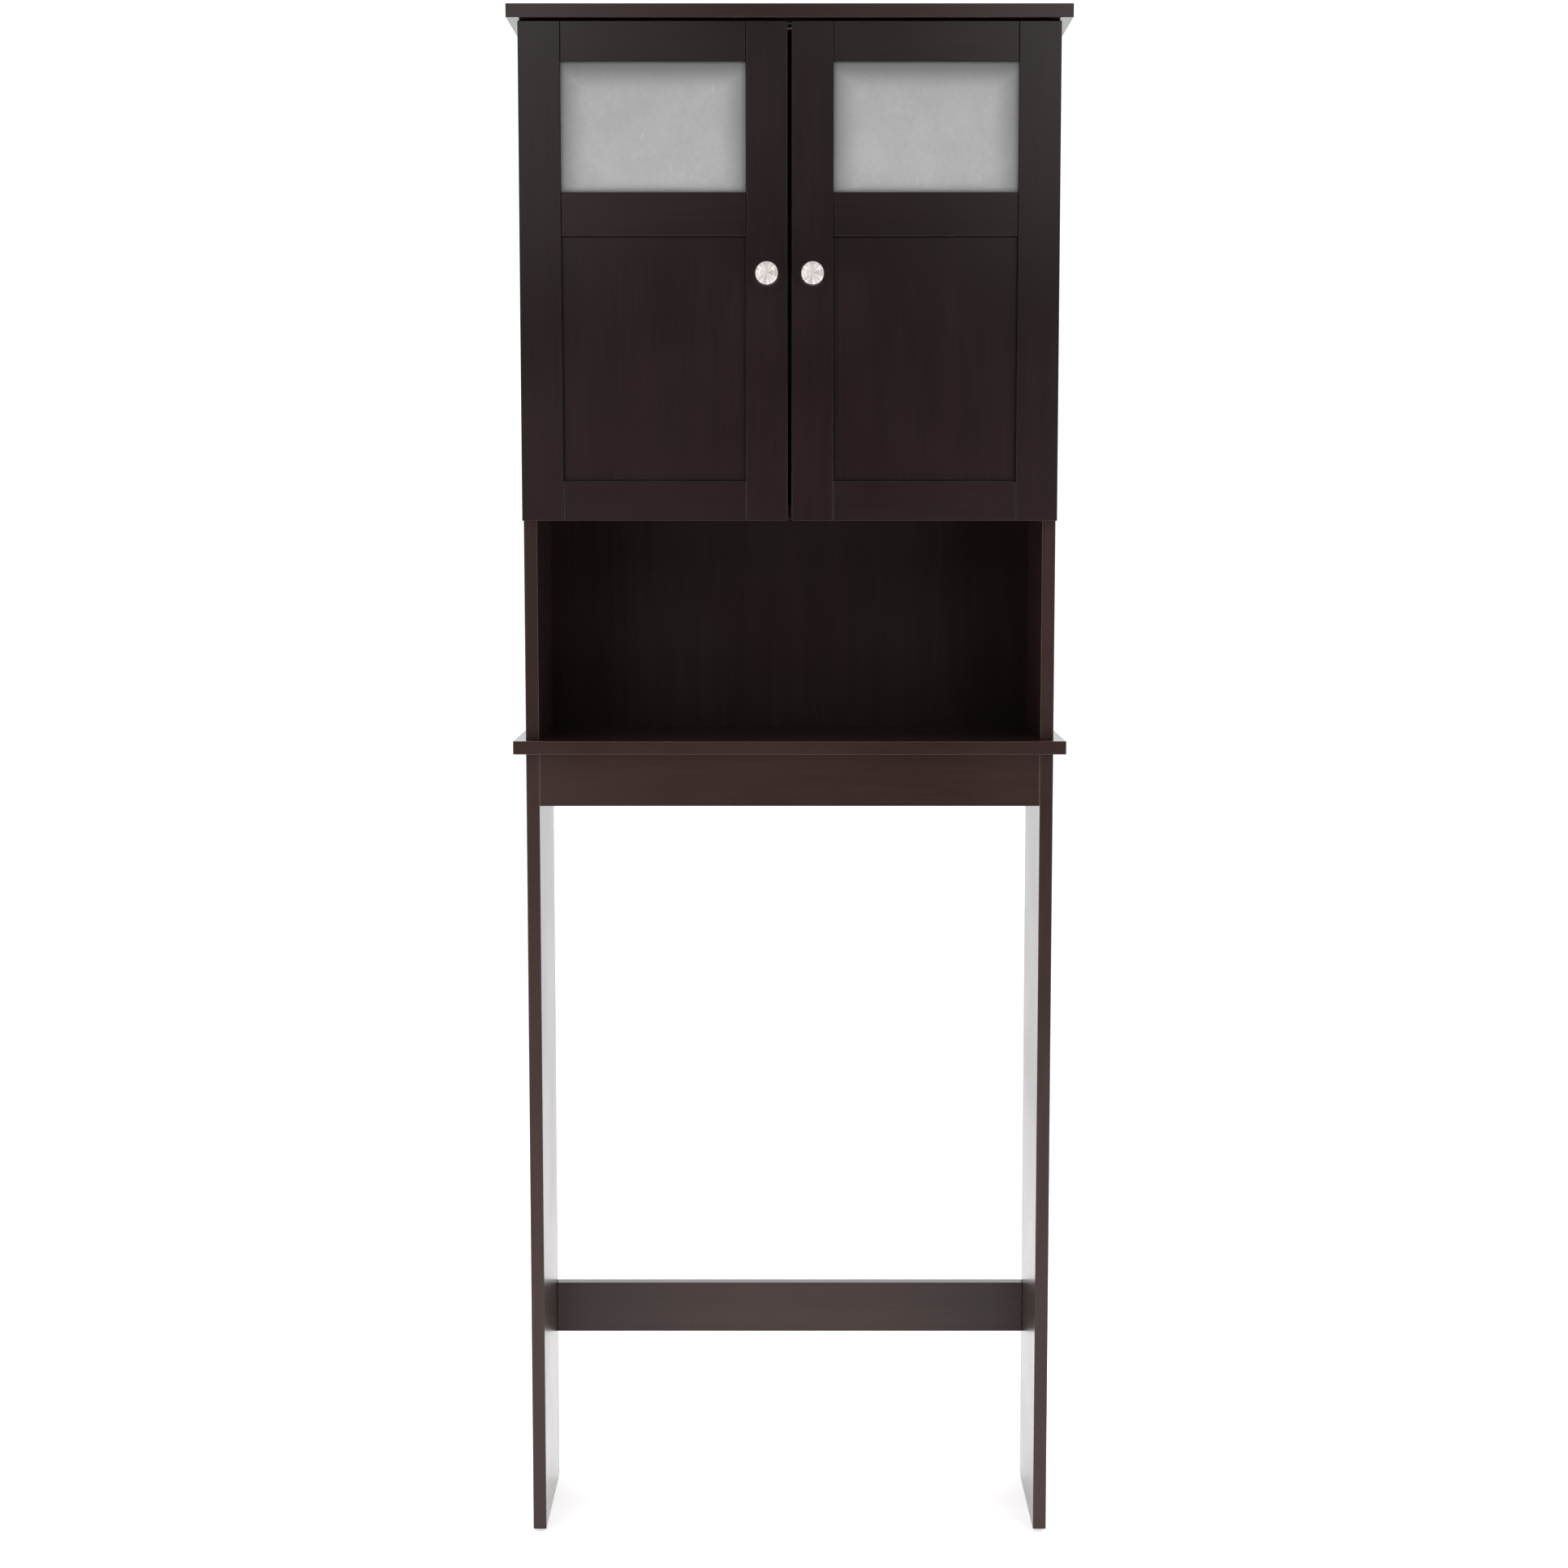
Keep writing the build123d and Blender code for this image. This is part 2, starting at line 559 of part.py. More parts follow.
def make_hinges():
    """Two hinges for each door: cup and pin in the door, arm and plate on the upper side."""
    for name, side in SIDES.items():
        for level, z in HINGE_HEIGHTS.items():
            place = Pos(-PIVOT_X, PIVOT_Y, z)
            door = name + "_door_"
            stile = door + "outer_stile"
            upper = "upper_side_" + name
            add(nodes, door + level + "_hinge_cup", on_side(place * hinge_cup(), side))
            add(nodes, door + "hinge_pins", on_side(place * hinge_pin(), side))
            add(nodes, f"{level}_{name}_hinge_arm", on_side(place * hinge_arm(), side))
            add(nodes, "hinge_plates", on_side(place * hinge_plate(), side))
            add(holes, stile, on_side(place * cup_bore(), side))
            arm_screw = screw(arm_screw_point(), (-1, 0, 0), ARM_SCREW)
            add(nodes, "hinge_screws", on_side(place * arm_screw, side))
            for point in plate_screw_points():
                fixing = screw(point, (-1, 0, 0), PLATE_SCREW)
                add(nodes, "hinge_screws", on_side(place * fixing, side))
                add(holes, upper, on_side(place * screw_hole(point, (-1, 0, 0), PLATE_SCREW), side))
            for point in cup_screw_points():
                fixing = screw(point, FORWARD, SMALL_SCREW)
                add(nodes, door + "small_screws", on_side(place * fixing, side))
                add(holes, stile, on_side(place * screw_hole(point, FORWARD, SMALL_SCREW), side))


# Doors, drawn for the left one


def recess_band(depth, gap=0.0):
    """Limits in Y of something that lies at the recess depth."""
    return (DOOR_FRONT + RECESS - gap, DOOR_FRONT + RECESS + depth + gap)


def stile(x_limits, edge_x, inward):
    """Full-height frame member with a groove for the wood panel and a rebate for the glass."""
    member = board(x_limits, (DOOR_FRONT, DOOR_REAR), (DOOR_BOTTOM, DOOR_TOP), DOOR_EDGE)
    across = (edge_x + inward, edge_x - inward * (PANEL_GROOVE + FIT_GAP))
    groove_y = recess_band(PANEL_THICK, FIT_GAP)
    spans = (
        (DOOR_BOTTOM + GLASS_REBATE - FIT_GAP, GLASS_BOTTOM - TENON_SHOULDER + FIT_GAP),
        (GLASS_TOP + TENON_SHOULDER - FIT_GAP, DOOR_TOP - GLASS_REBATE + FIT_GAP),
    )
    for span in spans:
        member -= block(across, groove_y, span)
    rebate_x = (edge_x + inward, edge_x - inward * GLASS_REBATE)
    rebate_z = (GLASS_BOTTOM - GLASS_REBATE, GLASS_TOP + GLASS_REBATE)
    return member - block(rebate_x, (DOOR_FRONT + RECESS, DOOR_REAR + 1), rebate_z)


def rail(low, high, tenon_low, tenon_high):
    """Cross member with a stub tenon at each end."""
    member = board((-STILE_EDGE, -INNER_STILE_EDGE), (DOOR_FRONT, DOOR_REAR), (low, high), DOOR_EDGE)
    tenon_y = recess_band(PANEL_THICK)
    for edge_x, outward in ((-STILE_EDGE, -1), (-INNER_STILE_EDGE, 1)):
        reach = (edge_x - outward * 2, edge_x + outward * PANEL_GROOVE)
        member += block(reach, tenon_y, (tenon_low, tenon_high))
    return member


def rail_length_cut(y_limits, z_limits):
    """Cutter that runs past both ends of a rail."""
    return block((-STILE_EDGE - 1, -INNER_STILE_EDGE + 1), y_limits, z_limits)


def top_rail():
    member = rail(GLASS_TOP, DOOR_TOP, GLASS_TOP + TENON_SHOULDER, DOOR_TOP - GLASS_REBATE)
    rebate = (GLASS_TOP - 1, GLASS_TOP + GLASS_REBATE)
    return member - rail_length_cut((DOOR_FRONT + RECESS, DOOR_REAR + 1), rebate)


def middle_rail():
    tenon = (PANEL_TOP + PANEL_GROOVE + 0.5, GLASS_BOTTOM - TENON_SHOULDER)
    member = rail(PANEL_TOP, GLASS_BOTTOM, *tenon)
    rebate = (GLASS_BOTTOM - GLASS_REBATE, GLASS_BOTTOM + 1)
    member -= rail_length_cut((DOOR_FRONT + RECESS, DOOR_REAR + 1), rebate)
    groove = (PANEL_TOP - 1, PANEL_TOP + PANEL_GROOVE)
    return member - rail_length_cut(recess_band(PANEL_THICK, FIT_GAP), groove)


def bottom_rail():
    tenon = (DOOR_BOTTOM + GLASS_REBATE, PANEL_BOTTOM - PANEL_GROOVE - 0.5)
    member = rail(DOOR_BOTTOM, PANEL_BOTTOM, *tenon)
    groove = (PANEL_BOTTOM - PANEL_GROOVE, PANEL_BOTTOM + 1)
    return member - rail_length_cut(recess_band(PANEL_THICK, FIT_GAP), groove)


def wood_panel():
    reach = PANEL_GROOVE - 0.5
    return block(
        (-STILE_EDGE - reach, -INNER_STILE_EDGE + reach),
        recess_band(PANEL_THICK),
        (PANEL_BOTTOM - reach, PANEL_TOP + reach),
    )


def glass_pane():
    reach = GLASS_REBATE - 0.5
    return block(
        (-STILE_EDGE - reach, -INNER_STILE_EDGE + reach),
        recess_band(GLASS_THICK),
        (GLASS_BOTTOM - reach, GLASS_TOP + reach),
    )


def glass_beads():
    """Four square beads behind the glass, the upright ones between the lying ones."""
    y = (DOOR_FRONT + RECESS + GLASS_THICK, DOOR_REAR)
    left = -STILE_EDGE - GLASS_REBATE + FIT_GAP
    right = -INNER_STILE_EDGE + GLASS_REBATE - FIT_GAP
    low = GLASS_BOTTOM - GLASS_REBATE + FIT_GAP
    high = GLASS_TOP + GLASS_REBATE - FIT_GAP
    between = (low + BEAD_WIDTH + FIT_GAP, high - BEAD_WIDTH - FIT_GAP)
    return [
        block((left, right), y, (low, low + BEAD_WIDTH)),
        block((left, right), y, (high - BEAD_WIDTH, high)),
        block((left, left + BEAD_WIDTH), y, between),
        block((right - BEAD_WIDTH, right), y, between),
    ]


def dome_height(x):
    """Height of the knob's domed face at a distance from its axis."""
    return KNOB_REACH - KNOB_DOME_RADIUS + math.sqrt(KNOB_DOME_RADIUS**2 - x**2)


def knob():
    """Turned drum knob with a flared neck, a rounded rim and a slightly domed face."""
    rim_point = (KNOB_RADIUS, dome_height(KNOB_RADIUS))
    side = Polyline((0, 0), (KNOB_NECK_RADIUS, 0), (KNOB_NECK_RADIUS, KNOB_NECK_HEIGHT),
                    (KNOB_RADIUS, KNOB_SHOULDER_HEIGHT), rim_point)
    face = ThreePointArc(rim_point, (KNOB_RADIUS / 2, dome_height(KNOB_RADIUS / 2)), (0, KNOB_REACH))
    axis = Line((0, KNOB_REACH), (0, 0))
    turned = revolve(make_face([side, face, axis]), Axis.Y)
    whole_rounds = turned.edges().filter_by(lambda edge: edge.is_closed)
    turned = fillet(whole_rounds.sort_by(Axis.Y)[-1], KNOB_RIM)
    bore = rod((0, 0, 0), REARWARD, KNOB_SCREW[2] + FIT_GAP / 2, KNOB_BORE_DEPTH)
    placed = Pos(-KNOB_X, DOOR_FRONT, KNOB_HEIGHT) * Rot(0, 0, 180)
    return placed * (turned - bore)


def make_knob_screw(door, side):
    """Screw through the inner stile into the knob."""
    point = (-KNOB_X, DOOR_REAR, KNOB_HEIGHT)
    add(nodes, door + "knob_screw", on_side(screw(point, FORWARD, KNOB_SCREW), side))
    add(holes, door + "inner_stile", on_side(screw_hole(point, FORWARD, KNOB_SCREW), side))


def make_strike(door, side):
    """Steel plate at the inner top corner of a door's rear, with its screw."""
    width, height = STRIKE_SIZE
    right = -DOOR_CENTRE_GAP / 2 - STRIKE_INSET[0]
    high = DOOR_TOP - STRIKE_INSET[1]
    plate = block((right - width, right), (DOOR_REAR, DOOR_REAR + STRIKE_THICK), (high - height, high))
    point = (right - width / 2, DOOR_REAR + STRIKE_THICK, high - height / 2)
    hole = screw_hole(point, FORWARD, STRIKE_SCREW, sunk=True)
    add(nodes, door + "strike_plate", on_side(plate - hole, side))
    add(nodes, door + "small_screws", on_side(screw(point, FORWARD, STRIKE_SCREW, sunk=True), side))
    shank_start = (point[0], DOOR_REAR + STRIKE_THICK / 2, point[2])
    shank = rod(shank_start, FORWARD, STRIKE_SCREW[2] + FIT_GAP / 2, STRIKE_SCREW[3])
    add(holes, door + "inner_stile", on_side(shank, side))


def bumper():
    """Stick-on stop that meets the front edge of the cabinet floor."""
    z = CABINET_FLOOR_TOP - BOARD / 2
    pad = rod((-KNOB_X, DOOR_REAR, z), REARWARD, BUMPER_RADIUS, DOOR_BACK_GAP - BUMPER_GAP)
    return fillet(pad.edges().filter_by(GeomType.CIRCLE).sort_by(Axis.Y)[-1], BUMPER_ROUND)


def make_door(name, side):
    """One door: frame, panel, glass and beads, knob, strike plate and bumper."""
    door = name + "_door_"
    centre = -DOOR_CENTRE_GAP / 2
    outer = stile((-OUTER_X, -STILE_EDGE), -STILE_EDGE, 1)
    inner = stile((-INNER_STILE_EDGE, centre), -INNER_STILE_EDGE, -1)
    pieces = {
        "outer_stile": [outer],
        "inner_stile": [inner],
        "top_rail": [top_rail()],
        "middle_rail": [middle_rail()],
        "bottom_rail": [bottom_rail()],
        "wood_panel": [wood_panel()],
        "glass": [glass_pane()],
        "glass_beads": glass_beads(),
        "knob": [knob()],
        "bumper": [bumper()],
    }
    for piece, solids in pieces.items():
        add(nodes, door + piece, *[on_side(solid, side) for solid in solids])
    make_knob_screw(door, side)
    make_strike(door, side)


def make_boards():
    """The cabinet's boards."""
    for name, side in SIDES.items():
        add(nodes, "upper_side_" + name, upper_side(side))
        add(nodes, "leg_panel_" + name, leg_panel(side))
    for make in (
        top_board,
        wide_shelf,
        cabinet_floor,
        loose_shelf,
        back_panel,
        front_apron,
        lower_stretcher,
    ):
        add(nodes, make.__name__, make())


def solids_of(name):
    """A node's solids with its fittings' holes cut."""
    cutters = holes.get(name, [])
    made = []
    for shape in nodes[name]:
        cut = shape.cut(*cutters) if cutters else shape
        made.extend(cut.solids())
    return made


def write_nodes():
    """Writes one STEP file per node."""
    os.makedirs("parts", exist_ok=True)
    for name in nodes:
        solids = solids_of(name)
        whole = solids[0] if len(solids) == 1 else Compound(solids)
        export_step(whole, f"parts/{name}.step")


make_boards()
cut_back_grooves()
join_standing_boards()
join_lying_boards()
make_shelf_pins()
make_glides()
make_catch()
make_hinges()
for side_name, side_sign in SIDES.items():
    make_door(side_name, side_sign)
write_nodes()
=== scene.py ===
import json
import logging
import math
from abc import ABC, abstractmethod
from dataclasses import dataclass
from enum import Enum
from typing import Callable, ClassVar, Sequence

import bmesh
import bpy
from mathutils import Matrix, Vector


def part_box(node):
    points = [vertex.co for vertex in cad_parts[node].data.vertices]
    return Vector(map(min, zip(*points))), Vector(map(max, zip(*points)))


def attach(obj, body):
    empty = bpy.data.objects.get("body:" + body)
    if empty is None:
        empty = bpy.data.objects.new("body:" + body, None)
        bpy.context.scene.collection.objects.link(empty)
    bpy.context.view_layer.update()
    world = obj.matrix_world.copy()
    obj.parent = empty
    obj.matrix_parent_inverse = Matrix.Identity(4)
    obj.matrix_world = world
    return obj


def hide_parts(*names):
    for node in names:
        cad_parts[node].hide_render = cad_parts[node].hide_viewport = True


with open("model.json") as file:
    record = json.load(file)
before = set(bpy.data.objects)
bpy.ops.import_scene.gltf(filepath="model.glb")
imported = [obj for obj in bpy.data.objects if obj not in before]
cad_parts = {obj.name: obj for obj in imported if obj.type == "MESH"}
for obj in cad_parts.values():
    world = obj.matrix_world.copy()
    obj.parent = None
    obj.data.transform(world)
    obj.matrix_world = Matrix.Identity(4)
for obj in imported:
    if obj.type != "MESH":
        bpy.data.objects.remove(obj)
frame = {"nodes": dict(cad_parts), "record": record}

# Over the toilet storage rack: finishes for every board and fitting, turned and pressed metalwork,
# frosted panes and a plain studio. Sizes are in metres, the front faces -Y and the floor is z = 0.

log = logging.getLogger("storage_rack")

Socket = bpy.types.NodeSocket
Feed = Socket | float | Sequence[float]
Colour = tuple[float, float, float]
Triple = tuple[float, float, float]
Pair = tuple[float, float]
Test = Callable[[Vector, Vector], bool]

MM = 0.001
SAME_POINT = 1e-6  # points nearer than this are merged
ALIGNED = 0.9  # cosine above which a face or an edge counts as lying along an axis
HOLE_SIDES = 32
CLOUD_SPAN = (0.3, 0.7)  # where a cloudy noise turns from its low to its high value

RIGHTWARD = Vector((1.0, 0.0, 0.0))
REARWARD = Vector((0.0, 1.0, 0.0))
UPWARD = Vector((0.0, 0.0, 1.0))


class Grain(Enum):
    """The way a board's grain and sanding marks run. The value stretches a pattern along it."""

    ALONG_X = (0.05, 1.0, 1.0)
    ALONG_Z = (1.0, 1.0, 0.05)


class Side(Enum):
    """Left or right as seen from the front. The value is the sign of X on that side."""

    LEFT = -1
    RIGHT = 1

    @property
    def word(self) -> str:
        """The side's name as it stands in node names."""
        return self.name.lower()


@dataclass(frozen=True)
class Region:
    """The box that a piece fills, and how its grain runs."""

    low: Vector
    high: Vector
    grain: Grain = Grain.ALONG_X

    @property
    def centre(self) -> Vector:
        """Middle of the box."""
        return (self.low + self.high) / 2

    @property
    def size(self) -> Vector:
        """Extents of the box."""
        return self.high - self.low


def region_of(node: str, grain: Grain = Grain.ALONG_X) -> Region:
    """Box of a node of the frame.

    Args:
        node: Name of the node.
        grain: Direction of the grain to note with it.

    Returns:
        The node's box at rest.
    """
    low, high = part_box(node)
    return Region(Vector(low), Vector(high), grain)


# Shader building


class Graph:
    """Adds nodes to one node tree and links them."""

    def __init__(self, tree: bpy.types.NodeTree) -> None:
        """Takes the tree to draw in."""
        self.tree = tree

    def add(self, kind: str, **settings: object) -> bpy.types.Node:
        """Adds a node.

        Args:
            kind: Type name of the node, without its ShaderNode prefix.
            **settings: Properties to set on it.

        Returns:
            The new node.
        """
        node = self.tree.nodes.new("ShaderNode" + kind)
        for key, setting in settings.items():
            setattr(node, key, setting)
        return node

    def feed(self, node: bpy.types.Node, *inputs: Feed) -> None:
        """Links or sets a node's first inputs in order.

        Args:
            node: The node to feed.
            *inputs: A socket to link, or a constant to set, for each input.
        """
        for target, source in zip(node.inputs, inputs):
            self.plug(target, source)

    def plug(self, target: Socket, source: Feed) -> None:
        """Links a socket to an input, or sets a constant on it."""
        if isinstance(source, bpy.types.NodeSocket):
            self.tree.links.new(source, target)
        else:
            target.default_value = source

    def number(self, operation: str, *inputs: Socket | float, clamp: bool = False) -> Socket:
        """Adds a Math node.

        Args:
            operation: Name of the operation.
            *inputs: Its operands.
            clamp: Whether the result is kept between 0 and 1.

        Returns:
            The result.
        """
        node = self.add("Math", operation=operation, use_clamp=clamp)
        self.feed(node, *inputs)
        return node.outputs[0]

    def weigh(self, first: Socket, second: Socket, share: float) -> Socket:
        """Averages two numbers.

        Args:
            first: The first number.
            second: The second number.
            share: Share of the first one.

        Returns:
            Their weighted average.
        """
        left = self.number("MULTIPLY", first, share)
        right = self.number("MULTIPLY", second, 1.0 - share)
        return self.number("ADD", left, right)

    def vector(self, operation: str, *inputs: Socket | Triple) -> Socket:
        """Adds a Vector Math node and returns its vector."""
        node = self.add("VectorMath", operation=operation)
        self.feed(node, *inputs)
        return node.outputs[0]

    def split(self, source: Socket) -> tuple[Socket, Socket, Socket]:
        """Separates a vector and returns its three numbers."""
        node = self.add("SeparateXYZ")
        self.feed(node, source)
        return node.outputs[0], node.outputs[1], node.outputs[2]

    def noise(self, place: Socket, scale: Feed, detail: float = 2.0, roughness: float = 0.5) -> Socket:
        """Adds a Noise Texture.

        Args:
            place: Coordinates to read it at.
            scale: Features for each metre.
            detail: Number of finer layers.
            roughness: Strength of the finer layers.

        Returns:
            The noise, about 0.5 on average.
        """
        node = self.add("TexNoise")
        self.plug(node.inputs["Vector"], place)
        self.plug(node.inputs["Scale"], scale)
        node.inputs["Detail"].default_value = detail
        node.inputs["Roughness"].default_value = roughness
        return node.outputs["Fac"]

    def band(self, source: Socket, low: float, high: float, start: float = 0.0, end: float = 1.0) -> Socket:
        """Maps a number smoothly from one range to another and stops at the ends.

        Args:
            source: The number.
            low: Where the change starts.
            high: Where the change ends.
            start: Result at and before low.
            end: Result at and after high.

        Returns:
            The mapped number.
        """
        node = self.add("MapRange", interpolation_type="SMOOTHSTEP")
        self.feed(node, source, low, high, start, end)
        return node.outputs[0]

    def mix(self, share: Feed, first: Feed, second: Feed) -> Socket:
        """Mixes two colours.

        Args:
            share: Share of the second colour.
            first: Colour at share 0.
            second: Colour at share 1.

        Returns:
            The mixed colour.
        """
        node = self.add("Mix", data_type="RGBA")
        colours = [socket for socket in node.inputs if socket.type == "RGBA"]
        self.plug(node.inputs["Factor"], share)
        self.plug(colours[0], first)
        self.plug(colours[1], second)
        return next(socket for socket in node.outputs if socket.type == "RGBA")

    def object_place(self) -> Socket:
        """Object coordinates of the shaded point."""
        return self.add("TexCoord").outputs["Object"]


def rgba(colour: Colour) -> tuple[float, float, float, float]:
    """A colour with full alpha."""
    return (*colour, 1.0)


class Effect(ABC):
    """A shader effect that several materials share, kept as one node group."""

    name: ClassVar[str]
    inputs: ClassVar[dict[str, str]]
    outputs: ClassVar[dict[str, str]]

    @classmethod
    @abstractmethod
    def draw(cls, graph: Graph, given: bpy.types.NodeOutputs) -> dict[str, Socket]:
        """Draws the effect.

        Args:
            graph: Graph of the group's tree.
            given: The group's inputs, by name.

        Returns:
            A socket for each of the group's outputs.
        """

    @classmethod
    def tree(cls) -> bpy.types.NodeTree:
        """The effect's node group, built the first time it is asked for."""
        made = bpy.data.node_groups.get(cls.name)
        if made:
            return made
        made = bpy.data.node_groups.new(cls.name, "ShaderNodeTree")
        for way, sockets in (("INPUT", cls.inputs), ("OUTPUT", cls.outputs)):
            for label, kind in sockets.items():
                made.interface.new_socket(name=label, in_out=way, socket_type="NodeSocket" + kind)
        start = made.nodes.new("NodeGroupInput")
        end = made.nodes.new("NodeGroupOutput")
        results = cls.draw(Graph(made), start.outputs)
        for label in cls.outputs:
            made.links.new(results[label], end.inputs[label])
        return made

    @classmethod
    def place(cls, graph: Graph, **given: Feed) -> bpy.types.NodeOutputs:
        """Puts the effect in a material.

        Args:
            graph: Graph of the material.
            **given: A constant or a socket for each input, by name.

        Returns:
            The effect's outputs, by name.
        """
        node = graph.tree.nodes.new("ShaderNodeGroup")
        node.node_tree = cls.tree()
        for label, source in given.items():
            graph.plug(node.inputs[label], source)
        return node.outputs


class EdgeWear(Effect):
    """A mask for the rim of a board, in patches, for worn thin lacquer and dark joint lines and for painted
    light along the arris.
    """

    name = "edge_marks_and_painted_light"
    inputs = {"Low": "Vector", "High": "Vector", "Width": "Float"}
    outputs = {"Mask": "Float"}
    patch_scale: ClassVar[float] = 38.0
    patch_span: ClassVar[Pair] = (0.32, 0.68)
    faintest_patch: ClassVar[float] = 0.25

    @classmethod
    def draw(cls, graph: Graph, given: bpy.types.NodeOutputs) -> dict[str, Socket]:
        """The middle one of the three distances to the box's faces is the distance to its nearest arris."""
        place = graph.object_place()
        from_low = graph.vector("SUBTRACT", place, given["Low"])
        from_high = graph.vector("SUBTRACT", given["High"], place)
        x, y, z = graph.split(graph.vector("MINIMUM", from_low, from_high))
        smaller = graph.number("MINIMUM", x, y)
        larger = graph.number("MAXIMUM", x, y)
        middle = graph.number("MAXIMUM", smaller, graph.number("MINIMUM", larger, z))
        away = graph.number("DIVIDE", middle, given["Width"])
        nearness = graph.number("SUBTRACT", 1.0, away, clamp=True)
        uneven = graph.noise(place, cls.patch_scale, detail=3.0)
        patches = graph.band(uneven, *cls.patch_span, start=cls.faintest_patch)
        # The rim colour laid by this mask is partly painted light: a painted highlight on most boards, a
        # painted shadow on the doors.
        return {"Mask": graph.number("MULTIPLY", nearness, patches)}


class BoardGrain(Effect):
    """Long soft streaks that run with a board, as telegraphed fibres and sanding marks."""

    name = "board_grain"
    inputs = {"Stretch": "Vector", "Scale": "Float"}
    outputs = {"Streaks": "Float", "Clouds": "Float", "Height": "Float"}
    coarse_step: ClassVar[float] = 0.16  # scale of the coarse streaks beside the fine ones
    cloud_scale: ClassVar[float] = 5.0
    peel_scale: ClassVar[float] = 420.0
    fine_share: ClassVar[float] = 0.6  # of the streaks
    fibre_share: ClassVar[float] = 0.45  # of the height

    @classmethod
    def draw(cls, graph: Graph, given: bpy.types.NodeOutputs) -> dict[str, Socket]:
        """Fine and coarse noise drawn out along the grain, with orange peel in the height."""
        place = graph.object_place()
        drawn = graph.vector("MULTIPLY", place, given["Stretch"])
        fine = graph.noise(drawn, given["Scale"], detail=4.0, roughness=0.6)
        coarse = graph.noise(drawn, graph.number("MULTIPLY", given["Scale"], cls.coarse_step))
        peel = graph.noise(place, cls.peel_scale, detail=1.0)
        return {
            "Streaks": graph.weigh(fine, coarse, cls.fine_share),
            "Clouds": graph.noise(place, cls.cloud_scale),
            "Height": graph.weigh(fine, peel, cls.fibre_share),
        }


class Mottle(Effect):
    """Uneven tone and a fine texture, for cast, plated, moulded and frosted surfaces."""

    name = "mottle"
    inputs = {"Light": "Color", "Dark": "Color", "Scale": "Float"}
    outputs = {"Colour": "Color", "Mask": "Float", "Height": "Float"}
    fine_step: ClassVar[float] = 9.0  # scale of the fine noise beside the broad one
    broad_share: ClassVar[float] = 0.65
    mask_span: ClassVar[Pair] = (0.35, 0.65)

    @classmethod
    def draw(cls, graph: Graph, given: bpy.types.NodeOutputs) -> dict[str, Socket]:
        """Broad and fine noise mixed into one mask."""
        place = graph.object_place()
        broad = graph.noise(place, given["Scale"], detail=3.0, roughness=0.55)
        fine = graph.noise(place, graph.number("MULTIPLY", given["Scale"], cls.fine_step))
        mask = graph.band(graph.weigh(broad, fine, cls.broad_share), *cls.mask_span)
        return {"Colour": graph.mix(mask, given["Light"], given["Dark"]), "Mask": mask, "Height": fine}


class TurningMarks(Effect):
    """Fine rings about an axis along Y, as a lathe tool and emery leave them, and slow wedges about the
    axis that paint the reflection of a turned face.
    """

    name = "turning_marks"
    inputs = {"Centre": "Vector", "Pitch": "Float"}
    outputs = {"Rings": "Float", "PaintedReflection": "Float"}
    wedge_scale: ClassVar[float] = 2.2
    hub: ClassVar[float] = 1e-5  # keeps the division off zero on the axis

    @classmethod
    def draw(cls, graph: Graph, given: bpy.types.NodeOutputs) -> dict[str, Socket]:
        """Noise read along the distance from the axis, and slow wedges about the axis."""
        x, depth, z = graph.split(graph.vector("SUBTRACT", graph.object_place(), given["Centre"]))
        squares = graph.number("ADD", graph.number("MULTIPLY", x, x), graph.number("MULTIPLY", z, z))
        away = graph.number("SQRT", squares)
        along = graph.add("CombineXYZ")
        graph.feed(along, *(graph.number("DIVIDE", part, given["Pitch"]) for part in (away, depth)))
        clear = graph.number("ADD", away, cls.hub)
        turn = graph.add("CombineXYZ")
        graph.feed(turn, *(graph.number("DIVIDE", part, clear) for part in (x, z)))
        return {
            "Rings": graph.noise(along.outputs[0], 1.0, detail=3.0, roughness=0.7),
            "PaintedReflection": graph.noise(turn.outputs[0], cls.wedge_scale, detail=1.0),
        }


# Finishes


class Finish(ABC):
    """A finish that can be laid on a piece."""

    label: ClassVar[str]

    @abstractmethod
    def dress(self, graph: Graph, shader: bpy.types.Node, region: Region) -> None:
        """Feeds the shader of a new material.

        Args:
            graph: Graph of the material.
            shader: Its Principled BSDF.
            region: Box and grain of the piece.
        """

    def material(self, piece: str, region: Region) -> bpy.types.Material:
        """Makes the finish for one piece.

        Args:
            piece: Name of the piece.
            region: Its box and grain.

        Returns:
            The new material.
        """
        made = bpy.data.materials.new(f"{self.label}_{piece}")
        made.use_nodes = True
        graph = Graph(made.node_tree)
        made.node_tree.nodes.clear()
        shader = graph.add("BsdfPrincipled")
        output = graph.add("OutputMaterial")
        graph.plug(output.inputs["Surface"], shader.outputs["BSDF"])
        self.dress(graph, shader, region)
        return made

    def lay_on(self, piece: bpy.types.Object, region: Region) -> None:
        """Makes the finish and gives it to a piece as its only material."""
        piece.data.materials.clear()
        piece.data.materials.append(self.material(piece.name, region))


def relief(graph: Graph, shader: bpy.types.Node, height: Socket, depth: float, strength: float) -> None:
    """Feeds a height to the shader's normal.

    Args:
        graph: Graph of the material.
        shader: Its Principled BSDF.
        height: Height from 0 to 1.
        depth: Depth of the relief in metres.
        strength: Strength of the Bump node.
    """
    bump = graph.add("Bump")
    bump.inputs["Strength"].default_value = strength
    bump.inputs["Distance"].default_value = depth
    graph.plug(bump.inputs["Height"], height)
    graph.plug(shader.inputs["Normal"], bump.outputs["Normal"])


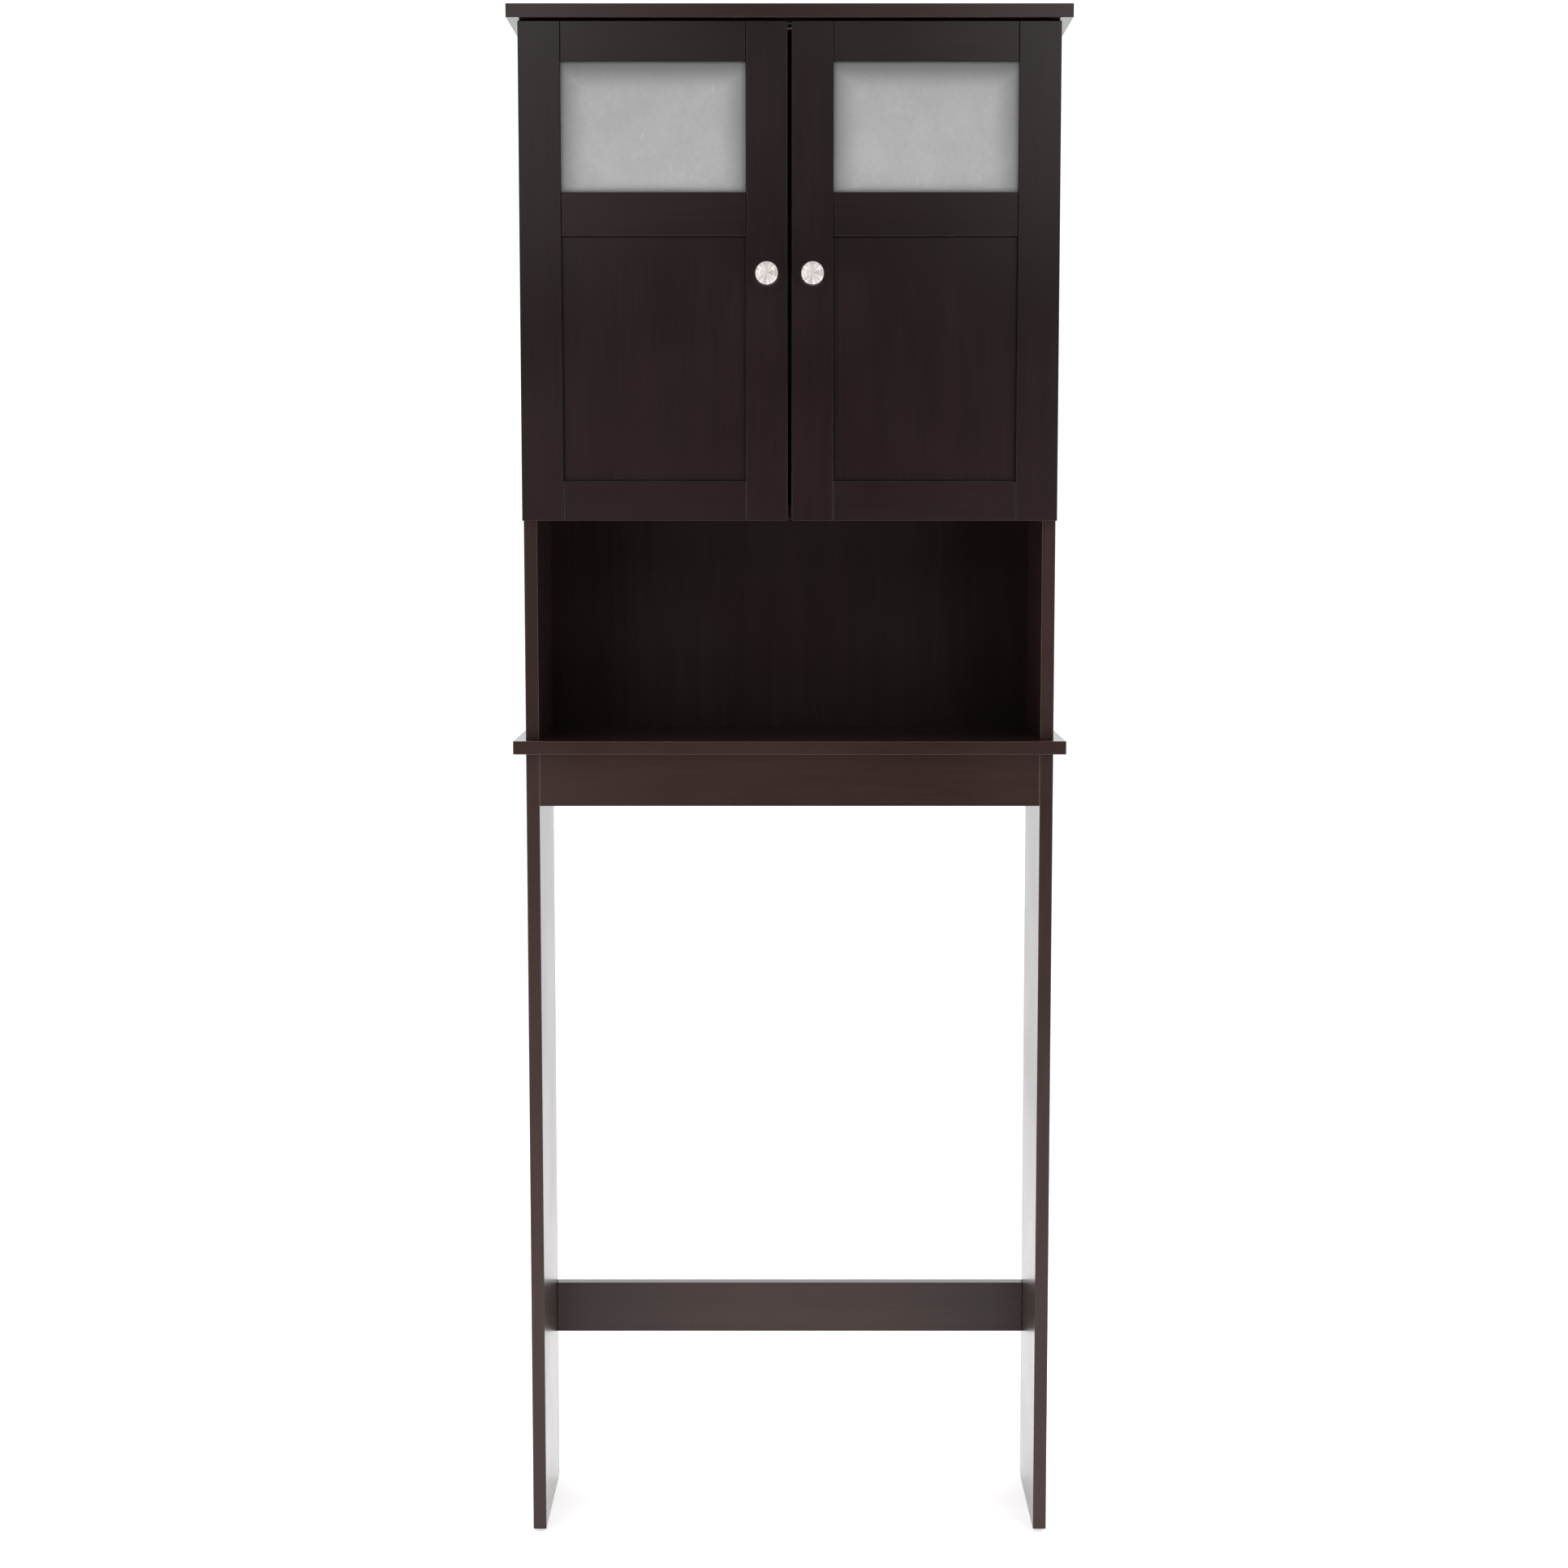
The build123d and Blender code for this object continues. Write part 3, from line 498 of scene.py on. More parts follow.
@dataclass(frozen=True)
class EspressoLacquer(Finish):
    """Satin espresso lacquer sprayed over sealed fibreboard."""

    label = "espresso_lacquer"
    deep: Colour = (0.0215, 0.0107, 0.0088)
    warm: Colour = (0.0300, 0.0152, 0.0123)
    # rim: lighter brown along each arris, partly worn thin lacquer and partly a painted highlight on the
    # eased edge
    rim: Colour = (0.0900, 0.0500, 0.0400)
    grain_scale: float = 260.0
    streak_share: float = 0.6
    tone_span: Pair = (0.36, 0.64)
    rim_width: float = 1.1 * MM
    rim_share: float = 0.35
    gloss: Pair = (0.27, 0.36)
    specular: float = 0.18
    coat: float = 0.9
    coat_ior: float = 1.3
    coat_roughness: float = 0.26
    relief_depth: float = 0.05 * MM
    relief_strength: float = 0.35

    def dress(self, graph: Graph, shader: bpy.types.Node, region: Region) -> None:
        """Clouded brown with faint streaks, a rim colour along each arris that is partly worn thin lacquer
        and partly painted light, and a slight orange peel.
        """
        grain = BoardGrain.place(graph, Stretch=region.grain.value, Scale=self.grain_scale)
        arris_marks_and_painted_light = EdgeWear.place(graph, Low=region.low, High=region.high, Width=self.rim_width)
        tone = graph.weigh(grain["Streaks"], grain["Clouds"], self.streak_share)
        body = graph.mix(graph.band(tone, *self.tone_span), rgba(self.deep), rgba(self.warm))
        # Painted light along each arris: a painted highlight with this finish's own rim, a painted shadow
        # with the doors' dark rim.
        share = graph.number("MULTIPLY", arris_marks_and_painted_light["Mask"], self.rim_share)
        graph.plug(shader.inputs["Base Color"], graph.mix(share, body, rgba(self.rim)))
        graph.plug(shader.inputs["Roughness"], graph.band(grain["Clouds"], *CLOUD_SPAN, *self.gloss))
        shader.inputs["Specular IOR Level"].default_value = self.specular
        shader.inputs["Coat Weight"].default_value = self.coat
        shader.inputs["Coat IOR"].default_value = self.coat_ior
        shader.inputs["Coat Roughness"].default_value = self.coat_roughness
        relief(graph, shader, grain["Height"], self.relief_depth, self.relief_strength)


@dataclass(frozen=True)
class BackBoard(Finish):
    """Printed foil on thin hardboard."""

    label = "back_board"
    dark: Colour = (0.0085, 0.0047, 0.0040)
    light: Colour = (0.0110, 0.0063, 0.0054)
    grain_scale: float = 180.0
    tone_span: Pair = (0.38, 0.62)
    gloss: Pair = (0.40, 0.52)
    specular: float = 0.1
    relief_depth: float = 0.04 * MM
    relief_strength: float = 0.4

    def dress(self, graph: Graph, shader: bpy.types.Node, region: Region) -> None:
        """Streaked brown foil, rougher than the lacquer."""
        grain = BoardGrain.place(graph, Stretch=region.grain.value, Scale=self.grain_scale)
        tone = graph.band(grain["Streaks"], *self.tone_span)
        graph.plug(shader.inputs["Base Color"], graph.mix(tone, rgba(self.dark), rgba(self.light)))
        graph.plug(shader.inputs["Roughness"], graph.band(grain["Clouds"], *CLOUD_SPAN, *self.gloss))
        shader.inputs["Specular IOR Level"].default_value = self.specular
        relief(graph, shader, grain["Height"], self.relief_depth, self.relief_strength)


@dataclass(frozen=True)
class FrostedGlass(Finish):
    """Acid-frosted glass: a pale matt face with painted shade near its edges."""

    label = "frosted_glass"
    frost: Colour = (0.71, 0.74, 0.735)
    thin_frost: Colour = (0.64, 0.67, 0.66)
    # rim: colour of the painted shade towards the pane's sides, top and foot
    rim: Colour = (0.26, 0.27, 0.27)
    fleck: Colour = (0.88, 0.90, 0.89)
    mottle_scale: float = 24.0
    fleck_stretch: Triple = (1.0, 1.0, 0.3)
    fleck_scale: float = 210.0
    fleck_span: Pair = (0.66, 0.74)
    fleck_share: float = 0.5
    rim_width: float = 38.0 * MM
    top_rim_width: float = 40.0 * MM
    foot_rim_width: float = 19.0 * MM
    side_shade: float = 0.75
    foot_shade: float = 0.45
    gloss: Pair = (0.52, 0.62)
    transmission: float = 0.38
    ior: float = 1.5
    relief_depth: float = 0.05 * MM
    relief_strength: float = 0.5

    def dress(self, graph: Graph, shader: bpy.types.Node, region: Region) -> None:
        """Mottled frost with sparse short flecks, with painted shade towards the sides and the top and a
        fainter one at the foot.
        """
        place = graph.object_place()
        tones = {"Light": rgba(self.frost), "Dark": rgba(self.thin_frost)}
        mottle = Mottle.place(graph, **tones, Scale=self.mottle_scale)
        drawn = graph.vector("MULTIPLY", place, self.fleck_stretch)
        specks = graph.noise(drawn, self.fleck_scale)
        flecks = graph.band(specks, *self.fleck_span, end=self.fleck_share)
        face = graph.mix(flecks, mottle["Colour"], rgba(self.fleck))
        # Painted shade: darker bands along the sides and the top, and a fainter one along the foot.
        x, _, z = graph.split(graph.vector("SUBTRACT", place, tuple(region.centre)))
        half = region.size / 2
        across = graph.number("ABSOLUTE", x)
        side = graph.band(across, half.x - self.rim_width, half.x, end=self.side_shade)
        top = graph.band(z, half.z - self.top_rim_width, half.z)
        foot = graph.band(z, -half.z, -half.z + self.foot_rim_width, self.foot_shade, 0.0)
        shade = graph.number("MAXIMUM", side, graph.number("MAXIMUM", top, foot))
        graph.plug(shader.inputs["Base Color"], graph.mix(shade, face, rgba(self.rim)))
        graph.plug(shader.inputs["Roughness"], graph.band(mottle["Mask"], 0.0, 1.0, *self.gloss))
        shader.inputs["Transmission Weight"].default_value = self.transmission
        shader.inputs["IOR"].default_value = self.ior
        relief(graph, shader, mottle["Height"], self.relief_depth, self.relief_strength)


@dataclass(frozen=True)
class SatinNickel(Finish):
    """Turned and brushed satin nickel."""

    label = "satin_nickel"
    # light and dark: the ends of the wedges, a painted reflection of the turned face
    light: Colour = (1.0, 0.98, 0.95)
    dark: Colour = (0.70, 0.66, 0.63)
    ring_pitch: float = 0.22 * MM
    wedge_span: Pair = (0.40, 0.56)
    gloss: Pair = (0.42, 0.56)
    metallic: float = 0.85
    anisotropy: float = 0.6
    relief_depth: float = 0.03 * MM
    relief_strength: float = 0.5

    def dress(self, graph: Graph, shader: bpy.types.Node, region: Region) -> None:
        """Bright metal with fine rings about the knob's own axis and slow wedges of painted reflection."""
        marks = TurningMarks.place(graph, Centre=region.centre, Pitch=self.ring_pitch)
        # Painted reflection: the wedges lighten and darken the metal about the knob's axis.
        tone = graph.band(marks["PaintedReflection"], *self.wedge_span)
        graph.plug(shader.inputs["Base Color"], graph.mix(tone, rgba(self.dark), rgba(self.light)))
        graph.plug(shader.inputs["Roughness"], graph.band(marks["Rings"], *CLOUD_SPAN, *self.gloss))
        shader.inputs["Metallic"].default_value = self.metallic
        shader.inputs["Anisotropic"].default_value = self.anisotropy
        tangent = graph.add("Tangent", direction_type="RADIAL", axis="Y")
        graph.plug(shader.inputs["Tangent"], tangent.outputs["Tangent"])
        relief(graph, shader, marks["Rings"], self.relief_depth, self.relief_strength)


@dataclass(frozen=True)
class Mottled(Finish):
    """A surface of uneven tone, whose duller patches are also the darker ones."""

    label: str
    light: Colour
    dark: Colour
    gloss: Pair
    scale: float
    relief_depth: float
    relief_strength: float = 0.5
    metallic: float = 0.0
    transmission: float = 0.0

    def dress(self, graph: Graph, shader: bpy.types.Node, region: Region) -> None:
        """Mottled tone and gloss over a grainy relief."""
        mottle = Mottle.place(graph, Light=rgba(self.light), Dark=rgba(self.dark), Scale=self.scale)
        graph.plug(shader.inputs["Base Color"], mottle["Colour"])
        graph.plug(shader.inputs["Roughness"], graph.band(mottle["Mask"], 0.0, 1.0, *self.gloss))
        shader.inputs["Metallic"].default_value = self.metallic
        shader.inputs["Transmission Weight"].default_value = self.transmission
        relief(graph, shader, mottle["Height"], self.relief_depth, self.relief_strength)


@dataclass(frozen=True)
class PlainMetal(Mottled):
    """Plated, pressed or cast metal."""

    scale: float = 90.0
    relief_depth: float = 0.03 * MM
    relief_strength: float = 0.4
    metallic: float = 1.0


@dataclass(frozen=True)
class Moulded(Mottled):
    """Moulded plastic, rubber or sintered ferrite with a fine spark texture."""

    scale: float = 160.0
    relief_depth: float = 0.08 * MM


@dataclass(frozen=True)
class BareBeech(Finish):
    """Unfinished beech dowel rod."""

    label = "bare_beech"
    pale: Colour = (0.62, 0.45, 0.29)
    fleck: Colour = (0.42, 0.26, 0.15)
    grain_scale: float = 600.0
    ray_span: Pair = (0.5, 0.66)
    gloss: Pair = (0.6, 0.75)
    relief_depth: float = 0.05 * MM
    relief_strength: float = 0.5

    def dress(self, graph: Graph, shader: bpy.types.Node, region: Region) -> None:
        """Pale wood with short darker rays along the dowel."""
        grain = BoardGrain.place(graph, Stretch=region.grain.value, Scale=self.grain_scale)
        rays = graph.band(grain["Streaks"], *self.ray_span)
        graph.plug(shader.inputs["Base Color"], graph.mix(rays, rgba(self.pale), rgba(self.fleck)))
        graph.plug(shader.inputs["Roughness"], graph.band(grain["Clouds"], *CLOUD_SPAN, *self.gloss))
        relief(graph, shader, grain["Height"], self.relief_depth, self.relief_strength)


# Door boards: a darker copy of the espresso lacquer, whose deeper base colours are painted shade, with a
# near-black rim round every visible arris that draws dark joint lines and painted shadow along the panel
# recesses.
DOOR_LACQUER = EspressoLacquer(
    deep=(0.0100, 0.0047, 0.0043),
    warm=(0.0155, 0.0075, 0.0069),
    rim=(0.0015, 0.0009, 0.0008),
    rim_width=1.6 * MM,
    rim_share=0.95,
    specular=0.2,
    coat=0.7,
)

ALL_FINISHES: tuple[Finish, ...] = (
    EspressoLacquer(),
    BackBoard(),
    FrostedGlass(),
    SatinNickel(),
    BareBeech(),
    PlainMetal("hinge_steel", (0.74, 0.73, 0.70), (0.60, 0.59, 0.57), (0.18, 0.32)),
    PlainMetal("zinc_screws", (0.66, 0.67, 0.68), (0.50, 0.50, 0.50), (0.24, 0.40), scale=220.0),
    PlainMetal(
        "cast_zinc",
        (0.54, 0.54, 0.55),
        (0.40, 0.40, 0.41),
        (0.45, 0.62),
        scale=260.0,
        relief_depth=0.08 * MM,
    ),
    PlainMetal("plated_steel", (0.80, 0.80, 0.79), (0.68, 0.68, 0.67), (0.10, 0.20)),
    Moulded("ferrite", (0.060, 0.060, 0.066), (0.034, 0.034, 0.038), (0.55, 0.75)),
    Moulded("catch_plastic", (0.070, 0.048, 0.040), (0.050, 0.034, 0.028), (0.42, 0.55)),
    Moulded("dark_plastic", (0.040, 0.038, 0.038), (0.022, 0.021, 0.021), (0.45, 0.60)),
    Moulded(
        "clear_rubber",
        (0.74, 0.74, 0.71),
        (0.64, 0.64, 0.60),
        (0.20, 0.32),
        scale=90.0,
        relief_depth=0.04 * MM,
        transmission=0.6,
    ),
)
FINISHES = {finish.label: finish for finish in ALL_FINISHES}


# Modelling by hand


def facing(direction: Vector) -> Test:
    """Test for faces that look along a direction."""
    return lambda middle, along: along.dot(direction) > ALIGNED


def running(direction: Vector) -> Test:
    """Test for edges that run along an axis, and for faces that look either way along it."""
    return lambda middle, along: abs(along.dot(direction)) > ALIGNED


class Bench:
    """One piece on the bench: a primitive shaped in edit mode, then finished with modifiers."""

    turns: ClassVar[dict[str, Triple]] = {
        "X": (0.0, math.pi / 2, 0.0),
        "Y": (math.pi / 2, 0.0, 0.0),
        "Z": (0.0, 0.0, 0.0),
    }

    def __init__(self, name: str) -> None:
        """Leaves edit mode, clears the selection and notes the piece's name."""
        self.leave()
        bpy.ops.object.select_all(action="DESELECT")
        self.name = name
        self.piece: bpy.types.Object | None = None

    def leave(self) -> None:
        """Goes back to object mode."""
        if bpy.context.mode != "OBJECT":
            bpy.ops.object.mode_set(mode="OBJECT")

    def _take(self) -> None:
        """Puts the new primitive's place in its mesh."""
        self.piece = bpy.context.object
        self.piece.name = self.name
        self.piece.data.name = self.name
        bpy.ops.object.transform_apply(location=True, rotation=True, scale=True)

    def block(self, low: Vector, high: Vector) -> None:
        """Starts from a block between two corners."""
        size = [abs(b - a) for a, b in zip(low, high)]
        bpy.ops.mesh.primitive_cube_add(size=1.0, location=(low + high) / 2, scale=size)
        self._take()

    def disc(
        self,
        centre: Vector,
        radius: float,
        depth: float,
        sides: int,
        axis: str = "Y",
        open_ends: bool = False,
    ) -> None:
        """Starts from a cylinder.

        Args:
            centre: Its middle.
            radius: Its radius.
            depth: Its length along the axis.
            sides: Number of sides.
            axis: X, Y or Z.
            open_ends: Whether its ends are left open.
        """
        bpy.ops.mesh.primitive_cylinder_add(
            vertices=sides,
            radius=radius,
            depth=depth,
            location=centre,
            rotation=self.turns[axis],
            end_fill_type="NOTHING" if open_ends else "NGON",
        )
        self._take()

    def _start_picking(self, kind: str) -> bmesh.types.BMesh:
        """Enters edit mode with nothing selected.

        Args:
            kind: FACE or EDGE, which is what gets selected next.

        Returns:
            The mesh being edited.
        """
        bpy.ops.object.mode_set(mode="EDIT")
        bpy.ops.mesh.select_mode(type=kind)
        bpy.ops.mesh.select_all(action="DESELECT")
        mesh = bmesh.from_edit_mesh(self.piece.data)
        mesh.normal_update()
        return mesh

    def pick_faces(self, test: Test) -> None:
        """Selects the faces whose middle and normal pass a test."""
        mesh = self._start_picking("FACE")
        for face in [face for face in mesh.faces if test(face.calc_center_median(), face.normal)]:
            face.select = True
        mesh.select_flush(True)
        bmesh.update_edit_mesh(self.piece.data)

    def pick_edges(self, test: Test) -> None:
        """Selects the edges whose middle and direction pass a test."""
        mesh = self._start_picking("EDGE")
        for edge in mesh.edges:
            start, end = (vertex.co for vertex in edge.verts)
            if test((start + end) / 2, (end - start).normalized()):
                edge.select = True
        bmesh.update_edit_mesh(self.piece.data)

    def extrude(self, by: Vector) -> None:
        """Extrudes what is selected."""
        bpy.ops.mesh.extrude_region_move(TRANSFORM_OT_translate={"value": tuple(by)})

    def resize(self, factors: Triple, centre: Vector) -> None:
        """Scales what is selected about a point."""
        bpy.ops.transform.resize(value=factors, center_override=tuple(centre))

    def inset(self, width: float, depth: float = 0.0) -> None:
        """Insets the selected faces, and sinks or lifts them by a depth."""
        bpy.ops.mesh.inset(thickness=width, depth=depth, use_even_offset=True)

    def bevel(self, width: float, segments: int = 2) -> None:
        """Bevels what is selected."""
        bpy.ops.mesh.bevel(offset=width, segments=segments, affect="EDGES", clamp_overlap=True)

    def turn_profile(self, centre: Vector, direction: Vector, start: float, rings: Sequence[Pair]) -> None:
        """Carries the selected round cap through the rings of a turned profile.

        Args:
            centre: Point on the axis where heights are measured from.
            direction: Unit vector along the axis, the way heights grow.
            start: Radius of the selected cap.
            rings: Height and radius of each ring in turn.
        """
        mesh = bmesh.from_edit_mesh(self.piece.data)
        cap = next(face for face in mesh.faces if face.select)
        last_height = (cap.calc_center_median() - centre).dot(direction)
        last_radius = start
        for height, radius in rings:
            self.extrude(direction * (height - last_height))
            factor = radius / last_radius
            self.resize(tuple(1.0 if abs(part) > ALIGNED else factor for part in direction), centre)
            last_height, last_radius = height, radius

    def modify(self, kind: str, **settings: object) -> None:
        """Adds a modifier to the piece and applies it.

        Args:
            kind: Type of the modifier.
            **settings: Its properties.
        """
        self.leave()
        bpy.context.view_layer.objects.active = self.piece
        modifier = self.piece.modifiers.new(kind.lower(), kind)
        for key, setting in settings.items():
            setattr(modifier, key, setting)
        bpy.ops.object.modifier_apply(modifier=modifier.name)

    def combine(self, tool: "Bench", operation: str) -> None:
        """Unites the piece with another one, or cuts the other one out of it.

        Args:
            tool: The other piece, which is used up.
            operation: UNION or DIFFERENCE.
        """
        tool.leave()
        self.modify("BOOLEAN", operation=operation, object=tool.piece, solver="EXACT")
        bpy.data.objects.remove(tool.piece, do_unlink=True)

    def drill(self, start: Vector, radius: float, depth: float, axis: str) -> None:
        """Drills a round hole centred on a point, equally far each way along an axis."""
        tool = Bench(self.name + "_drill")
        tool.disc(start, radius, 2 * depth, HOLE_SIDES, axis)
        self.combine(tool, "DIFFERENCE")

    def done(self, smooth_angle: float = 32.0) -> bpy.types.Object:
        """Merges doubled points, turns every face outwards and sets smooth shading.

        Args:
            smooth_angle: Faces that meet at less than this many degrees look smooth.

        Returns:
            The finished piece.
        """
        self.leave()
        bpy.ops.object.select_all(action="DESELECT")
        self.piece.select_set(True)
        bpy.context.view_layer.objects.active = self.piece
        bpy.ops.object.mode_set(mode="EDIT")
        bpy.ops.mesh.select_all(action="SELECT")
        bpy.ops.mesh.remove_doubles(threshold=SAME_POINT)
        bpy.ops.mesh.normals_make_consistent(inside=False)
        bpy.ops.object.mode_set(mode="OBJECT")
        bpy.ops.object.shade_smooth_by_angle(angle=math.radians(smooth_angle))
        self.piece.select_set(False)
        return self.piece


def fit_piece(piece: bpy.types.Object, body: str, slot: str, region: Region, node: str) -> None:
    """Dresses a new piece, fixes it to its body and reports it.

    Args:
        piece: The finished mesh.
        body: Body that it rides on.
        slot: Material slot of its finish.
        region: Box and grain for the finish.
        node: Node of the frame that it stands for.
    """
    FINISHES[slot].lay_on(piece, region)
    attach(piece, body)
    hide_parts(node)
    log.info("%s: %d faces on %s", piece.name, len(piece.data.polygons), body)


# Sub-assemblies


@dataclass
class Carcass:
    """The boards and fittings that come from the frame, dressed one by one."""

    upright_words: tuple[str, ...] = ("leg_panel", "upper_side", "stile", "wood_panel", "back_panel")
    door_words: tuple[str, ...] = ("stile", "rail", "wood_panel")
    tongue: float = 8.0 * MM

    def dress(self) -> None:
        """Lays each node's own finish on it."""
        for row in frame["record"]["subparts"]:
            node, slot = row["node"], row["material_slot"]
            jointed = any(word in node for word in self.door_words)
            finish = DOOR_LACQUER if jointed else FINISHES[slot]
            finish.lay_on(frame["nodes"][node], self.seen_region(node))
            log.info("%s: dressed in %s", node, slot)

    def seen_region(self, node: str) -> Region:
        """Box of what shows of a node: rails and door panels run on into their neighbours' grooves.

        Args:
            node: Name of the node.

        Returns:
            The box without the hidden tongues, with the way the grain runs.
        """
        upright = any(word in node for word in self.upright_words)
        region = region_of(node, Grain.ALONG_Z if upright else Grain.ALONG_X)
        hidden = Vector((0.0, 0.0, 0.0))
        # Trimmed to what shows, so that the doors' dark rim, partly joint line and partly painted shadow,
        # falls at the visible recess edges.
        if "rail" in node or "wood_panel" in node:
            hidden.x = self.tongue
        if "wood_panel" in node:
            hidden.z = self.tongue
        return Region(region.low + hidden, region.high - hidden, region.grain)


@dataclass
class DoorPart:
    """Something that a door carries."""

    side: Side

    @property
    def door(self) -> str:
        """Body of the door."""
        return self.side.word + "_door"


@dataclass
class Knob(DoorPart):
    """Turned drum knob: a waisted neck, a coned flare, a rounded rim and a domed face with fine rings."""

    neck_radius: float = 8.5 * MM
    neck_height: float = 4.0 * MM
    stub: float = 1.0 * MM
    waist: Pair = (2.8 * MM, 7.9 * MM)  # height and radius
    flare_foot: float = 0.5 * MM
    shoulder_height: float = 11.0 * MM
    shoulder_ease: Pair = (0.4 * MM, 0.35 * MM)  # height and radius short of the shoulder
    shoulder_rise: float = 0.3 * MM
    rim_radius: float = 12.5 * MM
    rim_round: float = 1.6 * MM
    rim_steps: int = 6
    reach: float = 26.0 * MM
    dome_rise: float = 0.75 * MM
    groove: float = 0.25 * MM
    groove_edges: Triple = (3.4 * MM, 3.1 * MM, 2.7 * MM)  # below the face's edge
    groove_end: float = 2.4 * MM
    face_rings: tuple[float, ...] = (0.90, 0.86, 0.84, 0.78, 0.60, 0.42, 0.24, 0.06)
    sunk_rings: Pair = (0.86, 0.84)
    sunk_depth: float = 0.15 * MM
    sides: int = 96

    def rings(self) -> list[Pair]:
        """Height and radius of each ring from the neck to the middle of the face."""
        edge = self.reach - self.dome_rise
        outer, middle, inner = self.groove_edges
        rings = [
            self.waist,
            (self.neck_height, self.neck_radius),
            (self.neck_height + self.flare_foot, self.neck_radius + self.flare_foot),
            (self.shoulder_height - self.shoulder_ease[0], self.rim_radius - self.shoulder_ease[1]),
            (self.shoulder_height + self.shoulder_rise, self.rim_radius),
            (edge - outer, self.rim_radius),
            (edge - middle, self.rim_radius - self.groove),
            (edge - inner, self.rim_radius - self.groove),
            (edge - self.groove_end, self.rim_radius),
        ]
        for step in range(self.rim_steps + 1):
            turn = math.pi / 2 * step / self.rim_steps
            out = self.rim_radius - self.rim_round * (1 - math.cos(turn))
            rings.append((edge - self.rim_round * (1 - math.sin(turn)), out))
        flat = self.rim_radius - self.rim_round
        for share in self.face_rings:
            dip = self.sunk_depth if share in self.sunk_rings else 0.0
            rings.append((edge + self.dome_rise * (1 - share**2) - dip, flat * share))
        return rings

    def make(self) -> None:
        """Turns the knob and fits it."""
        node = self.door + "_knob"
        region = region_of(node)
        foot = Vector((region.centre.x, region.high.y, region.centre.z))
        bench = Bench(self.door + "_turned_knob")
        bench.disc(foot - REARWARD * self.stub / 2, self.neck_radius, self.stub, self.sides)
        bench.pick_faces(facing(-REARWARD))
        bench.turn_profile(foot, -REARWARD, self.neck_radius, self.rings())
        fit_piece(bench.done(28.0), self.door, "satin_nickel", region, node)


@dataclass
class FrostedPane(DoorPart):
    """Flat pane with ground arrises, set in the door's rebate."""

    arris: float = 0.7 * MM
    border: float = 3.0 * MM

    def make(self) -> None:
        """Cuts the pane, grinds its arrises and fits it."""
        node = self.door + "_glass"
        region = region_of(node)
        bench = Bench(self.door + "_frosted_pane")
        bench.block(region.low, region.high)
        bench.pick_edges(lambda middle, along: True)
        bench.bevel(self.arris)
        bench.pick_faces(running(REARWARD))
        bench.inset(self.border)
        fit_piece(bench.done(), self.door, "frosted_glass", region, node)


@dataclass
class StopBumper(DoorPart):
    """Domed stick-on stop on the rear of a door."""

    sides: int = 40
    steps: int = 6
    skirt: float = 0.5  # upright share of its height
    tip: float = 0.05  # share of its radius at the top

    def make(self) -> None:
        """Raises the dome from a disc and fits it."""
        node = self.door + "_bumper"
        region = region_of(node)
        foot = Vector((region.centre.x, region.low.y, region.centre.z))
        radius = region.size.x / 2
        wall = region.size.y * self.skirt
        rise = region.size.y - wall
        bench = Bench(self.door + "_domed_stop")
        bench.disc(foot + REARWARD * wall / 4, radius, wall / 2, self.sides)
        bench.pick_faces(facing(REARWARD))
        turns = [math.pi / 2 * step / self.steps for step in range(self.steps + 1)]
        rings = [(wall + rise * math.sin(turn), radius * max(math.cos(turn), self.tip)) for turn in turns]
        bench.turn_profile(foot, REARWARD, radius, rings)
        fit_piece(bench.done(60.0), self.door, "clear_rubber", region, node)


